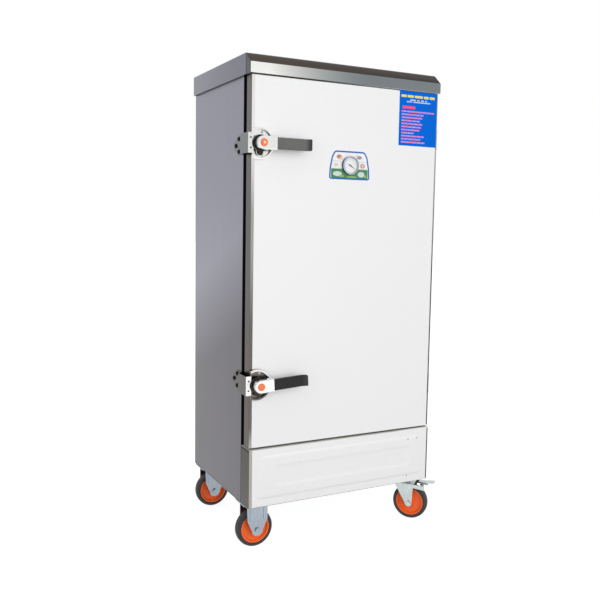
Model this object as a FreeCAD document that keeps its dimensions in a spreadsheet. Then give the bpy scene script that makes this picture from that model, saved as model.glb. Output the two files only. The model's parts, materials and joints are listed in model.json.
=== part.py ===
import FreeCAD, Part
import math
import os

import Sketcher

# Electric rice steamer on casters, in millimetres. The origin is on the floor under the
# middle of the cabinet, +Z is up and the door looks along -Y.

# Driving sizes. Heights are measured up from the cabinet's underside unless they say otherwise.
SIZES = {
    # Cabinet
    "cabinet_width": 700,
    "overall_depth": 517,
    "cabinet_height": 1438,
    "caster_height": 155,
    "skin": 1.2,
    "side_flange": 18,
    "insulation_side": 39.6,
    "insulation_back": 40.2,
    # Lid and visor
    "lid_overhang": 8.5,
    "lid_rear_overhang": 1.5,
    "lid_skirt": 65.5,
    "visor_depth": 36,
    "visor_drop": 32,
    "visor_face": 31,
    "visor_proud": 3,
    "visor_end_gap": 1.5,
    # Door
    "door_thickness": 43,
    "door_bottom": 199,
    "door_top_drop": 67.5,
    "face_sheet": 0.8,
    "face_border": 5,
    "seal_gap": 20,
    "seal_clearance": 0.3,
    "seal_width": 20,
    "seal_inset": 12,
    "seal_groove": 6,
    # Lower panel with its pressed field
    "panel_bottom": 2,
    "panel_top": 194.5,
    "panel_proud": 5,
    "panel_return": 18,
    "field_bottom": 37,
    "field_top": 159,
    "field_half_bottom": 318,
    "field_half_top": 303,
    "field_rise": 2.5,
    "field_corner": 14,
    "inset_bottom": 69,
    "inset_top": 134,
    "inset_half_bottom": 248,
    "inset_half_top": 262,
    "inset_depth": 1,
    # Chamber, water tank and racks
    "chamber_bottom": 237,
    "chamber_top_drop": 108,
    "tank_bottom": 45,
    "tank_wall": 1.5,
    "frame_bottom": 195,
    "rail_wall": 1.5,
    "rail_shelf": 22,
    "rail_lip": 14,
    "rail_end_gap": 8,
    # Rice trays
    "tray_side_gap": 8,
    "tray_end_gap": 4.5,
    "tray_height": 48,
    "tray_pitch": 88,
    "tray_wall": 1,
    "tray_rim": 8,
    "tray_corner": 25,
    "first_tray": 13,
    # Base pan, rails and caster bolts
    "base_sheet": 2,
    "base_front_gap": 4,
    "rail_channel_width": 80,
    "rail_channel_height": 28,
    "rail_channel_sheet": 2.5,
    "bolt_radius": 4,
    "bolt_clearance": 0.3,
    "bolt_head_radius": 6.5,
    "bolt_head_height": 5,
    "bolt_pitch_across": 80,
    "bolt_pitch_along": 40,
    "weld_nut_radius": 7,
    "weld_nut_height": 6,
    # Heating elements
    "heater_height": 78,
    "heater_tube_radius": 6,
    "heater_leg_pitch": 50,
    "heater_length": 330,
    "heater_pitch": 150,
    "heater_flange_radius": 38,
    "heater_flange": 8,
    "heater_terminal_radius": 4,
    "heater_terminal_length": 22,
    # Door latches
    "latch_edge": 22,
    "latch_inset": 208.75,
    "latch_base_radius": 50,
    "latch_base_height": 12,
    "latch_base_floor": 2.5,
    "latch_base_edge": 1,
    "latch_bowl_radius": 44,
    "latch_boss_radius": 14,
    "latch_screw_radius": 37.6,
    "latch_screw_angle": 73,
    "latch_screw_head": 4.5,
    "spindle_radius": 8,
    "spindle_clearance": 0.05,
    "cam_radius": 26,
    "cam_front": 20,
    "cam_back": 9,
    "lobe_reach": 37,
    "lobe_half_width": 11,
    "lobe_thickness": 5,
    "hook_hub_radius": 14,
    "head_half_height": 20.5,
    "head_back": 24,
    "head_front": 46,
    "head_reach": 44,
    "head_round": 3,
    "neck_radius": 14,
    "tongue_length": 104,
    "tongue_half_height": 12,
    "tongue_thickness": 5,
    "grip_length": 116,
    "grip_height": 36,
    "grip_thickness": 13,
    "grip_tip": 18,
    "grip_flare": 8,
    "grip_clearance": 0.1,
    "grip_round": 3,
    "button_radius": 12,
    "button_clearance": 0.2,
    "button_proud": 4,
    "button_length": 11,
    "button_round": 4,
    "button_travel": 4,
    "lower_lever_raise": 3.5,
    # Keepers on the cabinet's left side
    "keeper_sheet": 3,
    "keeper_standoff": 16.5,
    "keeper_half_height": 31,
    "keeper_flange_front": 18,
    "keeper_flange_gap": 1.5,
    "keeper_notch_gap": 2.5,
    "keeper_step": 14,
    "keeper_plate_length": 71,
    "keeper_nose": 36,
    "keeper_screw_rear": 56,
    "keeper_screw_front": 31,
    "keeper_screw_rise": 20,
    "keeper_screw_radius": 5,
    "keeper_screw_height": 3.5,
    "keeper_stud_rise": 15.5,
    "keeper_stud_radius": 3,
    # Hinges on the right side
    "hinge_inset": 120,
    "hinge_height": 70,
    "hinge_knuckle": 8,
    "hinge_pin": 4,
    "hinge_clearance": 0.05,
    "hinge_leaf": 3,
    "hinge_reach": 44,
    "hinge_split": 0.5,
    "hinge_pin_depth": 28,
    # Dial thermometer in the door
    "trays_under_dial": 10,
    "dial_radius": 30,
    "dial_rim": 4,
    "dial_depth": 12,
    "dial_floor": 3,
    "stem_radius": 4,
    "stem_clearance": 0.3,
    "stem_length": 58,
    "lens_thickness": 2,
    "hand_length": 22,
    "hand_width": 3,
    "hand_thickness": 0.8,
    "hand_angle": 30,
    "hand_pin": 1.5,
    # Casters
    "caster_inset": 50,
    "caster_front": 70,
    "caster_rear": 50,
    "wheel_radius": 63.5,
    "wheel_width": 32,
    "hub_radius": 50,
    "hub_half_width": 28,
    "hub_web": 6,
    "hub_rim": 5,
    "hub_boss": 14,
    "axle_radius": 5,
    "axle_clearance": 0.05,
    "plate_across": 102,
    "plate_along": 85,
    "plate_sheet": 3,
    "fork_gap": 30,
    "fork_sheet": 3,
    "fork_half_width": 36,
    "fork_straight": 58,
    "fork_nose": 20,
    "fork_bead": 6,
    "fork_bead_rise": 1.6,
    "nut_radius": 8.5,
    "nut_height": 6,
    "swivel_trail": 30,
    "front_swivel_angle": -50,
    "rear_swivel_angle": 96,
    "crown_drop": 20,
    "race_radius": 29,
    "race_depth": 6,
    "race_gap": 0.3,
    "kingpin_radius": 6,
    "kingpin_head": 10,
    "swivel_nose": 12.5,
    "crown_reach": 16,
    "cheek_reach": 88,
    "cheek_shoulder": 2,
    "cheek_edge": 9,
    "cheek_heel": 5,
    "pedal_reach": 119,
    "pedal_pivot": 74,
    "pedal_pivot_drop": 28,
    "pedal_pin": 3,
    "pedal_width": 30,
    "pedal_level": 11.5,
    "pedal_tip_drop": -3,
    "pedal_arm_width": 22,
    "pedal_sheet": 3,
    # Water feed box on the back
    "feed_inset": 50,
    "feed_width": 170,
    "feed_bottom": 60,
    "feed_height": 200,
    "feed_depth": 60,
    "feed_wall": 1.2,
    "feed_cover_lap": 15,
    "feed_pipe_radius": 11,
    "feed_pipe_height": 30,
    "inlet_radius": 10.4,
    "inlet_length": 28,
    "inlet_neck": 9,
    "inlet_drop": 32,
    "valve_block": 22,
    "float_radius": 22,
    "float_arm_length": 82,
    "float_rod": 3,
    "float_drop": 26,
    # Drain valve, steam vent and terminal box on the back
    "drain_inset": 140,
    "drain_height": 66,
    "drain_pipe_radius": 11,
    "drain_bore": 8,
    "drain_reach": 60,
    "valve_radius": 17,
    "valve_length": 34,
    "drain_stem_radius": 4,
    "drain_lever_length": 60,
    "drain_lever_width": 12,
    "drain_lever_sheet": 3,
    "vent_drop": 163,
    "vent_radius": 20,
    "vent_wall": 1.5,
    "vent_reach": 50,
    "vent_collar": 34,
    "box_width": 160,
    "box_bottom": 285,
    "box_height": 200,
    "box_depth": 60,
    "box_wall": 1.5,
    "gland_radius": 12,
    "gland_bore": 7,
    "gland_length": 24,
}

doc = FreeCAD.newDocument("rice_steamer")
sheet = doc.addObject("Spreadsheet::Sheet", "sizes")


class Size:
    """A length or angle that the sheet drives: the expression that binds it and its value."""

    def __init__(self, text, value):
        self.text = text
        self.value = float(value)

    def joined(self, sign, other, turned=False):
        other = sized(other)
        first, second = (other, self) if turned else (self, other)
        values = {
            "+": first.value + second.value,
            "-": first.value - second.value,
            "*": first.value * second.value,
            "/": first.value / second.value if second.value else 0.0,
        }
        return Size(f"({first.text} {sign} {second.text})", values[sign])

    def __add__(self, other):
        return self.joined("+", other)

    def __radd__(self, other):
        return self.joined("+", other, turned=True)

    def __sub__(self, other):
        return self.joined("-", other)

    def __rsub__(self, other):
        return self.joined("-", other, turned=True)

    def __mul__(self, other):
        return self.joined("*", other)

    def __rmul__(self, other):
        return self.joined("*", other, turned=True)

    def __truediv__(self, other):
        return self.joined("/", other)

    def __neg__(self):
        return Size(f"(-1 * {self.text})", -self.value)


def sized(number):
    """A plain number as a Size, so that both can be bound alike."""
    return number if isinstance(number, Size) else Size(repr(float(number)), number)


def fill_sheet():
    """Writes each driving size and its alias, and returns them by alias."""
    cells = {}
    for row, (alias, number) in enumerate(SIZES.items(), start=1):
        sheet.set(f"A{row}", alias)
        sheet.set(f"B{row}", str(number))
        sheet.setAlias(f"B{row}", alias)
        cells[alias] = Size(f"sizes.{alias}", number)
    return cells


at = fill_sheet()
doc.recompute()

# Levels and planes that the pieces share
half = at["cabinet_width"] / 2
front = -(at["overall_depth"] / 2)
back = at["overall_depth"] / 2
underside = at["caster_height"]
lid_top = underside + at["cabinet_height"]
door_top = lid_top - at["door_top_drop"]
seam = front + at["door_thickness"] + at["seal_gap"]
door_back = front + at["door_thickness"]
skin = at["skin"]
chamber_half = half - skin * 2 - at["insulation_side"]
chamber_front = seam + skin * 2
chamber_back = back - skin * 2 - at["insulation_back"]
chamber_floor = underside + at["chamber_bottom"]
chamber_roof = lid_top - at["chamber_top_drop"]
tray_floor = chamber_floor + at["first_tray"]
tray_space = at["tray_pitch"] - at["tray_height"]
latch_heights = {
    "upper": door_top - at["latch_inset"],
    "lower": underside + at["door_bottom"] + at["latch_inset"],
}
latch_middle = at["latch_edge"] - half
hinge_heights = {
    "upper": door_top - at["hinge_inset"] - at["hinge_height"],
    "lower": underside + at["door_bottom"] + at["hinge_inset"],
}
hinge_axis = (half + at["hinge_knuckle"], seam - at["seal_gap"] / 2)
dial_height = tray_floor + at["tray_pitch"] * at["trays_under_dial"] - tray_space / 2
axle_drop = at["caster_height"] - at["wheel_radius"]
caster_front = front + at["caster_front"]
caster_rear = back - at["caster_rear"]
caster_side = half - at["caster_inset"]
feed_left = at["feed_inset"] - half
drain_side = half - at["drain_inset"]
vent_level = lid_top - at["vent_drop"]

NODES = []


def bind(item, path, size):
    """Binds one property of an object to the sheet."""
    item.setExpression(path, sized(size).text)


def node(item, label):
    """Marks an object as a finished sub-part under its own label."""
    item.Label = label
    NODES.append(item)
    return item


def place(item, x=0, y=0, z=0, axis=None, angle=None):
    """Puts an object at a bound place, turned about an axis by a bound angle."""
    if axis is not None:
        item.Placement.Rotation = FreeCAD.Rotation(FreeCAD.Vector(*axis), sized(angle).value)
        bind(item, "Placement.Rotation.Angle", angle)
    for path, size in (("x", x), ("y", y), ("z", z)):
        bind(item, f"Placement.Base.{path}", size)
    return item


# Part primitives and booleans

def block(x, y, z):
    """A box between three pairs of coordinates."""
    item = doc.addObject("Part::Box", "block")
    for path, (low, high) in (("Length", x), ("Width", y), ("Height", z)):
        bind(item, path, sized(high) - low)
    return place(item, x[0], y[0], z[0])


def rod(radius, start, length, axis="z"):
    """A cylinder from a start point along an axis."""
    item = doc.addObject("Part::Cylinder", "rod")
    bind(item, "Radius", radius)
    bind(item, "Height", length)
    turns = {"x": ((0, 1, 0), 90), "y": ((1, 0, 0), -90)}
    if axis in turns:
        item.Placement.Rotation = FreeCAD.Rotation(FreeCAD.Vector(*turns[axis][0]), turns[axis][1])
    return place(item, *start)


def ball(radius, centre):
    """A sphere about a point."""
    item = doc.addObject("Part::Sphere", "ball")
    bind(item, "Radius", radius)
    return place(item, *centre)


def half_ring(radius, tube, centre):
    """Half a torus that lies flat and closes a loop at its far end, along +Y."""
    item = doc.addObject("Part::Torus", "half_ring")
    bind(item, "Radius1", radius)
    bind(item, "Radius2", tube)
    item.Angle3 = 180
    return place(item, *centre)


def fuse(*pieces):
    """One solid out of several that meet."""
    item = doc.addObject("Part::MultiFuse", "fuse")
    item.Shapes = list(pieces)
    item.Refine = True
    return item


def cut(base, *tools):
    """A base less its tools."""
    item = doc.addObject("Part::Cut", "cut")
    item.Base = base
    item.Tool = tools[0] if len(tools) == 1 else fuse(*tools)
    return item


def group(*pieces):
    """Like solids that share one node."""
    item = doc.addObject("Part::Compound", "group")
    item.Links = list(pieces)
    return item


def tray_shape(x, y, z, wall, open_side):
    """A folded sheet tray: a box hollowed by its wall, with one side left open."""
    inner = {
        "x": [x[0] + wall, x[1] - wall],
        "y": [y[0] + wall, y[1] - wall],
        "z": [z[0] + wall, z[1] - wall],
    }
    letter, end = open_side[1], 0 if open_side[0] == "-" else 1
    inner[letter][end] = {"x": x, "y": y, "z": z}[letter][end] + (wall if end else -wall)
    return cut(block(x, y, z), block(inner["x"], inner["y"], inner["z"]))


# Sketched bodies. A sketch on XY has its normal along +Z, on XZ along -Y and on YZ along +X.

def new_body(label):
    """An empty sketched body."""
    return doc.addObject("PartDesign::Body", label)


def new_sketch(item, plane, start, shift=(0, 0)):
    """A sketch on one of the body's own planes, moved along the normal and within the plane."""
    sketch = item.newObject("Sketcher::SketchObject", "outline")
    support = next(f for f in item.Origin.OriginFeatures if f.Role == plane + "_Plane")
    sketch.AttachmentSupport = (support, [""])
    sketch.MapMode = "FlatFace"
    for path, size in (("x", shift[0]), ("y", shift[1]), ("z", start)):
        bind(sketch, f"AttachmentOffset.Base.{path}", size)
    return sketch


def tie(sketch, index, point, x, y):
    """Holds one point of a sketch at a bound distance from the sketch's origin."""
    for kind, size in (("DistanceX", sized(x)), ("DistanceY", sized(y))):
        rule = Sketcher.Constraint(kind, -1, 1, index, point, size.value)
        number = sketch.addConstraint(rule)
        sketch.setExpression(f"Constraints[{number}]", size.text)


def polygon(item, plane, corners, start=0, shift=(0, 0)):
    """A sketch of straight lines through its corners."""
    sketch = new_sketch(item, plane, start, shift)
    points = [FreeCAD.Vector(sized(x).value, sized(y).value, 0) for x, y in corners]
    count = len(points)
    lines = [Part.LineSegment(points[i], points[(i + 1) % count]) for i in range(count)]
    sketch.addGeometry(lines, False)
    for i in range(count):
        sketch.addConstraint(Sketcher.Constraint("Coincident", i, 2, (i + 1) % count, 1))
    for i, (x, y) in enumerate(corners):
        tie(sketch, i, 1, x, y)
    return sketch


def circle(item, plane, radius, centre=(0, 0), start=0, shift=(0, 0)):
    """A sketch of one circle."""
    sketch = new_sketch(item, plane, start, shift)
    middle = FreeCAD.Vector(sized(centre[0]).value, sized(centre[1]).value, 0)
    normal = FreeCAD.Vector(0, 0, 1)
    sketch.addGeometry(Part.Circle(middle, normal, sized(radius).value), False)
    number = sketch.addConstraint(Sketcher.Constraint("Radius", 0, sized(radius).value))
    sketch.setExpression(f"Constraints[{number}]", sized(radius).text)
    tie(sketch, 0, 3, *centre)
    return sketch


def pad(item, sketch, length, middle=False, taper=0):
    """Material from the sketch along its normal, or to both sides of it."""
    feature = item.newObject("PartDesign::Pad", "pad")
    feature.Profile = sketch
    feature.Midplane = middle
    bind(feature, "Length", length)
    if taper:
        feature.TaperAngle = taper
    item.Tip = feature
    return feature


def pocket(item, sketch, length, middle=False, taper=0):
    """A recess from the sketch along its normal, or to both sides of it."""
    feature = item.newObject("PartDesign::Pocket", "pocket")
    feature.Profile = sketch
    feature.Midplane = middle
    feature.Reversed = not middle
    bind(feature, "Length", length)
    if taper:
        feature.TaperAngle = taper
    item.Tip = feature
    return feature


def turned(item, corners, shift=(0, 0), start=0, plane="XY", cutting=False):
    """A profile of radius and place along the axis, turned about the sketch's own vertical."""
    sketch = polygon(item, plane, corners, start, shift)
    kind = "PartDesign::Groove" if cutting else "PartDesign::Revolution"
    feature = item.newObject(kind, "turning")
    feature.Profile = sketch
    feature.ReferenceAxis = (sketch, ["V_Axis"])
    feature.Angle = 360
    item.Tip = feature
    return feature


def rounded(item, radius, chosen):
    """A fillet on the edges of the body so far that the test picks."""
    doc.recompute()
    base = item.Tip
    edges = [f"Edge{i}" for i, e in enumerate(base.Shape.Edges, start=1) if chosen(e)]
    feature = item.newObject("PartDesign::Fillet", "rounding")
    feature.Base = (base, edges)
    bind(feature, "Radius", radius)
    item.Tip = feature
    return feature


def shelled(item, wall, chosen):
    """The body hollowed by a wall, open at the faces that the test picks."""
    doc.recompute()
    base = item.Tip
    faces = [f"Face{i}" for i, f in enumerate(base.Shape.Faces, start=1) if chosen(f)]
    feature = item.newObject("PartDesign::Thickness", "shell")
    feature.Base = (base, faces)
    feature.Reversed = True
    bind(feature, "Value", wall)
    item.Tip = feature
    return feature


def runs_along(edge, axis):
    """Whether a straight edge is parallel to an axis."""
    if not isinstance(edge.Curve, Part.Line):
        return False
    return abs(edge.Curve.Direction.dot(FreeCAD.Vector(*axis))) > 0.999


def lies_at(shape, letter, size):
    """Whether all of an edge or face is in one plane square to an axis."""
    box = shape.BoundBox
    low, high = getattr(box, letter + "Min"), getattr(box, letter + "Max")
    return abs(low - sized(size).value) < 0.01 and abs(high - sized(size).value) < 0.01


# Outer cabinet

def side_panels():
    """Left and right panels, folded inwards at the front, back and top."""
    low, high = underside + at["base_sheet"], lid_top - skin
    near, far = seam, back - skin
    channel_top = low + at["rail_channel_height"]
    for label, side in (("left", -1), ("right", 1)):
        outer, inner = half * side, (half - at["side_flange"]) * side
        face = (half - skin) * side
        across = (outer, inner) if side < 0 else (inner, outer)
        hollow = (face, inner + skin) if side < 0 else (inner - skin, face)
        node(cut(
            block(across, (near, far), (low, high)),
            block(hollow, (near + skin, far - skin), (low - skin, high - skin)),
            block(hollow, (near - skin, near + skin * 2), (low - skin, channel_top + skin)),
        ), f"side_panel_{label}")


def back_panel():
    """Flat sheet over the back flanges, with holes for the pipes that pass it."""
    plate = block((-half, half), (back - skin, back), (underside, lid_top - skin))
    holes = [
        rod(radius, (x, back - skin * 3, z), skin * 6, "y")
        for radius, x, z in (
            (at["vent_radius"], 0, vent_level),
            (at["feed_pipe_radius"], feed_middle(), feed_pipe_level()),
            (at["drain_pipe_radius"], drain_side, underside + at["drain_height"]),
        )
    ]
    node(cut(plate, *holes), "back_panel")


def top_lid():
    """Shallow cap turned over the cabinet, with skirts at both sides and the back."""
    wide = half + at["lid_overhang"]
    deep = (front - at["visor_proud"] + at["visor_depth"], back + at["lid_rear_overhang"])
    tall = (lid_top - at["lid_skirt"], lid_top)
    node(cut(
        block((-wide, wide), deep, tall),
        block((-wide + skin, wide - skin), (deep[0] - skin, deep[1] - skin),
              (tall[0] - skin, tall[1] - skin)),
    ), "top_lid")


def visor():
    """Sloped front of the lid: a folded sheet with end caps, open towards the cabinet."""
    item = new_body("visor")
    reach = at["visor_depth"]
    top, bend = lid_top, lid_top - at["visor_drop"]
    lip = front - at["visor_proud"]
    corners = [(lip + reach, top), (lip, bend), (lip, bend - at["visor_face"]),
               (lip + reach, bend - at["visor_face"])]
    wide = (half + at["lid_overhang"] - at["visor_end_gap"]) * 2
    pad(item, polygon(item, "YZ", corners), wide, middle=True)
    shelled(item, skin, lambda face: lies_at(face, "Y", lip + reach))
    node(item, "visor")


def chamber_liner():
    """Inner chamber, open to the water below, folded out into a front face for the seal."""
    flange = block((skin - half, half - skin), (seam + skin, chamber_front),
                   (underside + at["frame_bottom"], lid_top - skin * 2))
    outer = block((-chamber_half - skin, chamber_half + skin),
                  (chamber_front, chamber_back + skin), (chamber_floor, chamber_roof + skin))
    inner = block((-chamber_half, chamber_half), (seam, chamber_back),
                  (chamber_floor, chamber_roof))
    mouth = block((-chamber_half, chamber_half), (seam, chamber_front + skin),
                  (chamber_floor - skin, chamber_roof))
    below = block((-chamber_half, chamber_half), (chamber_front, chamber_back),
                  (chamber_floor - skin, chamber_roof))
    node(cut(fuse(flange, outer), inner, mouth, below, vent_hole()), "chamber_liner")


def vent_hole():
    """Way through the back for the steam vent."""
    start = (0, chamber_back - skin, vent_level)
    return rod(at["vent_radius"], start, at["insulation_back"] + skin * 4, "y")


def foam_insulation():
    """Foam that fills the space between the chamber and the outer panels."""
    outer = block((skin - half, half - skin), (chamber_front, back - skin * 2),
                  (chamber_floor, lid_top - skin * 2))
    core = block((-chamber_half - skin, chamber_half + skin),
                 (chamber_front - skin, chamber_back + skin),
                 (chamber_floor - skin, chamber_roof + skin))
    node(cut(outer, core, vent_hole()), "foam_insulation")


def base_plate():
    """Bottom plate with two welded channels and the nuts that take the caster bolts."""
    low = underside + at["base_sheet"]
    high = low + at["rail_channel_height"]
    gauge = at["rail_channel_sheet"]
    pieces = [block((-half, half), (front + at["base_front_gap"], back - skin), (underside, low))]
    for y in (caster_front, caster_rear):
        outer = (y - at["rail_channel_width"] / 2, y + at["rail_channel_width"] / 2)
        pieces.append(cut(
            block((skin - half, half - skin), outer, (low, high)),
            block((-half, half), (outer[0] + gauge, outer[1] - gauge), (low + gauge, high + gauge)),
        ))
    pieces += [rod(at["weld_nut_radius"], (x, y, low + gauge), at["weld_nut_height"])
               for x, y in bolt_places()]
    holes = [rod(at["bolt_radius"] + at["bolt_clearance"], (x, y, underside - skin),
                 at["rail_channel_height"]) for x, y in bolt_places()]
    node(cut(fuse(*pieces), *holes), "base_plate")


def bolt_places():
    """Centres of the sixteen caster bolts."""
    across, along = at["bolt_pitch_across"] / 2, at["bolt_pitch_along"] / 2
    return [(x + across * i, y + along * j)
            for x in (-caster_side, caster_side) for y in (caster_front, caster_rear)
            for i in (-1, 1) for j in (-1, 1)]


def caster_fasteners():
    """Hexagon bolts into the weld nuts, and the axle bolts of the two fixed casters."""
    bolts = []
    low = underside - at["plate_sheet"]
    shank = (at["plate_sheet"] + at["base_sheet"] + at["rail_channel_sheet"]
             + at["weld_nut_height"])
    for x, y in bolt_places():
        head = doc.addObject("Part::Prism", "bolt_head")
        head.Polygon = 6
        bind(head, "Circumradius", at["bolt_head_radius"])
        bind(head, "Height", at["bolt_head_height"])
        place(head, x, y, low - at["bolt_head_height"])
        bolts.append(fuse(head, rod(at["bolt_radius"], (x, y, low), shank)))
    for y in (caster_front, caster_rear):
        item = new_body("rigid_axle")
        axle_bolt(item, 0, at["fork_sheet"])
        place_caster(item, -caster_side, y)
        bolts.append(item)
    node(group(*bolts), "caster_fasteners")


# Water tank, heating, racks and trays

def water_tank():
    """Open tank under the chamber, welded from five sheets, with holes for pipes and heaters."""
    wall = at["tank_wall"]
    wide = (-chamber_half - skin, chamber_half + skin)
    deep = (chamber_front, chamber_back + skin)
    tall = (underside + at["tank_bottom"], chamber_floor)
    sides = (tall[0] + wall, tall[1])
    between = (deep[0] + wall, deep[1] - wall)
    floor = block(wide, deep, (tall[0], sides[0]))
    left = block((wide[0], wide[0] + wall), between, sides)
    right = block((wide[1] - wall, wide[1]), between, sides)
    front = block(wide, (deep[0], between[0]), sides)
    rear = block(wide, (between[1], deep[1]), sides)
    holes = []
    for x in heater_places():
        for leg in (-1, 1):
            start = (x + at["heater_leg_pitch"] / 2 * leg, chamber_front - wall,
                     underside + at["heater_height"])
            holes.append(rod(at["heater_tube_radius"], start, wall * 3, "y"))
    feed = rod(at["feed_pipe_radius"], (feed_middle(), chamber_back - wall, feed_pipe_level()),
               wall * 3, "y")
    drain = rod(at["drain_pipe_radius"],
                (drain_side, chamber_back - wall, underside + at["drain_height"]),
                wall * 3, "y")
    node(group(floor, left, right, cut(front, *holes), cut(rear, feed, drain)), "water_tank")


def heater_places():
    """Middles of the three heating elements across the tank."""
    return [at["heater_pitch"] * i for i in (-1, 0, 1)]


def heating_elements():
    """Three hairpin tube heaters, each brazed into a flange outside the tank's front wall."""
    loops = []
    level = underside + at["heater_height"]
    bend = chamber_front + at["heater_length"]
    flange_back = chamber_front
    flange_front = flange_back - at["heater_flange"]
    for x in heater_places():
        legs, pins = [], []
        for side in (-1, 1):
            leg = x + at["heater_leg_pitch"] / 2 * side
            legs.append(rod(at["heater_tube_radius"], (leg, flange_front, level),
                            bend - flange_front, "y"))
            pins.append(rod(at["heater_terminal_radius"],
                            (leg, flange_front - at["heater_terminal_length"], level),
                            at["heater_terminal_length"] + at["heater_flange"], "y"))
        ring = half_ring(at["heater_leg_pitch"] / 2, at["heater_tube_radius"], (x, bend, level))
        flange = rod(at["heater_flange_radius"], (x, flange_front, level), at["heater_flange"], "y")
        loops.append(fuse(ring, flange, *legs, *pins))
    node(group(*loops), "heating_elements")


def tray_levels():
    """Floor heights of the trays that the chamber has room for."""
    room = chamber_roof - chamber_floor - at["first_tray"] - at["tray_height"]
    count = int(room.value // at["tray_pitch"].value) + 1
    return [tray_floor + at["tray_pitch"] * i for i in range(count)]


def tray_rails():
    """Angle rails welded to the side walls in pairs, one pair under each tray."""
    rails = []
    wall = at["rail_wall"]
    deep = (chamber_front + at["rail_end_gap"], chamber_back - at["rail_end_gap"])
    outer = chamber_half
    for level in tray_levels():
        for side in (-1, 1):
            shelf = [outer * side, (outer - at["rail_shelf"]) * side]
            lip = [outer * side, (outer - wall) * side]
            if side > 0:
                shelf.reverse()
                lip.reverse()
            rails.append(fuse(
                block(shelf, deep, (level - wall, level)),
                block(lip, deep, (level - wall, level + at["rail_lip"])),
            ))
    node(group(*rails), "tray_rails")


def rounded_block(x, y, z, radius):
    """A block whose upright edges are rounded."""
    item = new_body("rounded_block")
    corners = [(x[0], y[0]), (x[1], y[0]), (x[1], y[1]), (x[0], y[1])]
    pad(item, polygon(item, "XY", corners, z[0]), sized(z[1]) - z[0])
    rounded(item, radius, lambda edge: runs_along(edge, (0, 0, 1)))
    return item


def rice_trays():
    """Pressed rice trays with rounded corners and a turned-out rim."""
    trays = []
    wide = chamber_half - at["tray_side_gap"]
    near, far = chamber_front + at["tray_end_gap"], chamber_back - at["tray_end_gap"]
    lip, wall, corner = at["tray_rim"], at["tray_wall"], at["tray_corner"]
    inner = lip + wall
    for level in tray_levels():
        top = level + at["tray_height"]
        pan = rounded_block((lip - wide, wide - lip), (near + lip, far - lip), (level, top),
                            corner - lip)
        rim = rounded_block((-wide, wide), (near, far), (top - wall, top), corner)
        hollow = rounded_block((inner - wide, wide - inner), (near + inner, far - inner),
                               (level + wall, top + wall), corner - inner)
        trays.append(cut(fuse(pan, rim), hollow))
    node(group(*trays), "rice_trays")


# Door

def door_sheets():
    """Stainless door pan, its white face, inner panel and foam core."""
    tall = (underside + at["door_bottom"], door_top)
    shell_front = front + at["face_sheet"]
    hole = dial_hole()
    pan = tray_shape((-half, half), (shell_front, door_back), tall, skin, "+y")
    node(cut(pan, hole), "door_pan")
    border = at["face_border"]
    face = block((border - half, half - border), (front, shell_front),
                 (tall[0] + border / 2, tall[1] - border / 2))
    node(cut(face, dial_hole()), "door_face")
    inside = (skin - half, half - skin)
    low, high = tall[0] + skin, tall[1] - skin
    inner = block(inside, (door_back - skin, door_back), (low, high))
    node(cut(inner, dial_hole()), "door_inner_panel")
    foam = block(inside, (shell_front + skin, door_back - skin), (low, high))
    node(cut(foam, dial_hole()), "door_foam")


def dial_hole():
    """Hole through the door for the thermometer's stem."""
    start = (0, front - skin, dial_height)
    return rod(at["stem_radius"] + at["stem_clearance"], start, at["door_thickness"] + skin * 2, "y")


def door_gasket():
    """Hollow-lipped rubber seal all round the door's back."""
    inset, width = at["seal_inset"], at["seal_width"]
    low, high = underside + at["door_bottom"] + inset, door_top - inset
    wide = half - inset
    deep = (door_back, seam - at["seal_clearance"])
    outer = block((-wide, wide), deep, (low, high))
    inner = block((width - wide, wide - width), (deep[0] - skin, deep[1] + skin),
                  (low + width, high - width))
    third = width / 3
    depth = at["seal_groove"]
    groove = cut(
        block((third - wide, wide - third), (deep[1] - depth, deep[1] + skin),
              (low + third, high - third)),
        block((third * 2 - wide, wide - third * 2), (deep[1] - depth * 2, deep[1] + depth),
              (low + third * 2, high - third * 2)),
    )
    node(cut(outer, inner, groove), "door_gasket")


# Lower front panel

def lower_panel():
    """Stainless pan below the door, open behind and below, which hides the heater ends."""
    tall = (underside + at["panel_bottom"], underside + at["panel_top"])
    shell_front = front - at["panel_proud"] + at["face_sheet"]
    pan = tray_shape((-half, half), (shell_front, seam), tall, skin, "+y")
    open_floor = block((skin - half, half - skin), (shell_front + at["panel_return"], seam + skin),
                       (tall[0] - skin, tall[0] + skin * 2))
    node(cut(pan, open_floor), "lower_panel")


def lower_panel_face():
    """White sheet with a raised trapezoid field that has a shallow inset."""
    item = new_body("lower_panel_face")
    shell_front = front - at["panel_proud"] + at["face_sheet"]
    sheet_gauge, border = at["face_sheet"], at["face_border"]
    low, high = underside + at["panel_bottom"], underside + at["panel_top"]
    wide = half - border
    outline = [(-wide, low + sheet_gauge), (wide, low + sheet_gauge),
               (wide, high - sheet_gauge), (-wide, high - sheet_gauge)]
    pad(item, polygon(item, "XZ", outline, -shell_front), sheet_gauge)
    side = half - at["cabinet_width"] / 2
    field = [
        (side - at["field_half_bottom"], underside + at["field_bottom"]),
        (side + at["field_half_bottom"], underside + at["field_bottom"]),
        (side + at["field_half_top"], underside + at["field_top"]),
        (side - at["field_half_top"], underside + at["field_top"]),
    ]
    face = sheet_gauge - shell_front
    pad(item, polygon(item, "XZ", field, face), at["field_rise"], taper=-30)
    inset = [
        (side - at["inset_half_bottom"], underside + at["inset_bottom"]),
        (side + at["inset_half_bottom"], underside + at["inset_bottom"]),
        (side + at["inset_half_top"], underside + at["inset_top"]),
        (side - at["inset_half_top"], underside + at["inset_top"]),
    ]
    pocket(item, polygon(item, "XZ", inset, face + at["field_rise"] - at["inset_depth"]),
           at["inset_depth"] * 2)
    node(item, "lower_panel_face")


# Latches. Each is drawn round its own pivot on the door's face and then placed.

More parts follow.
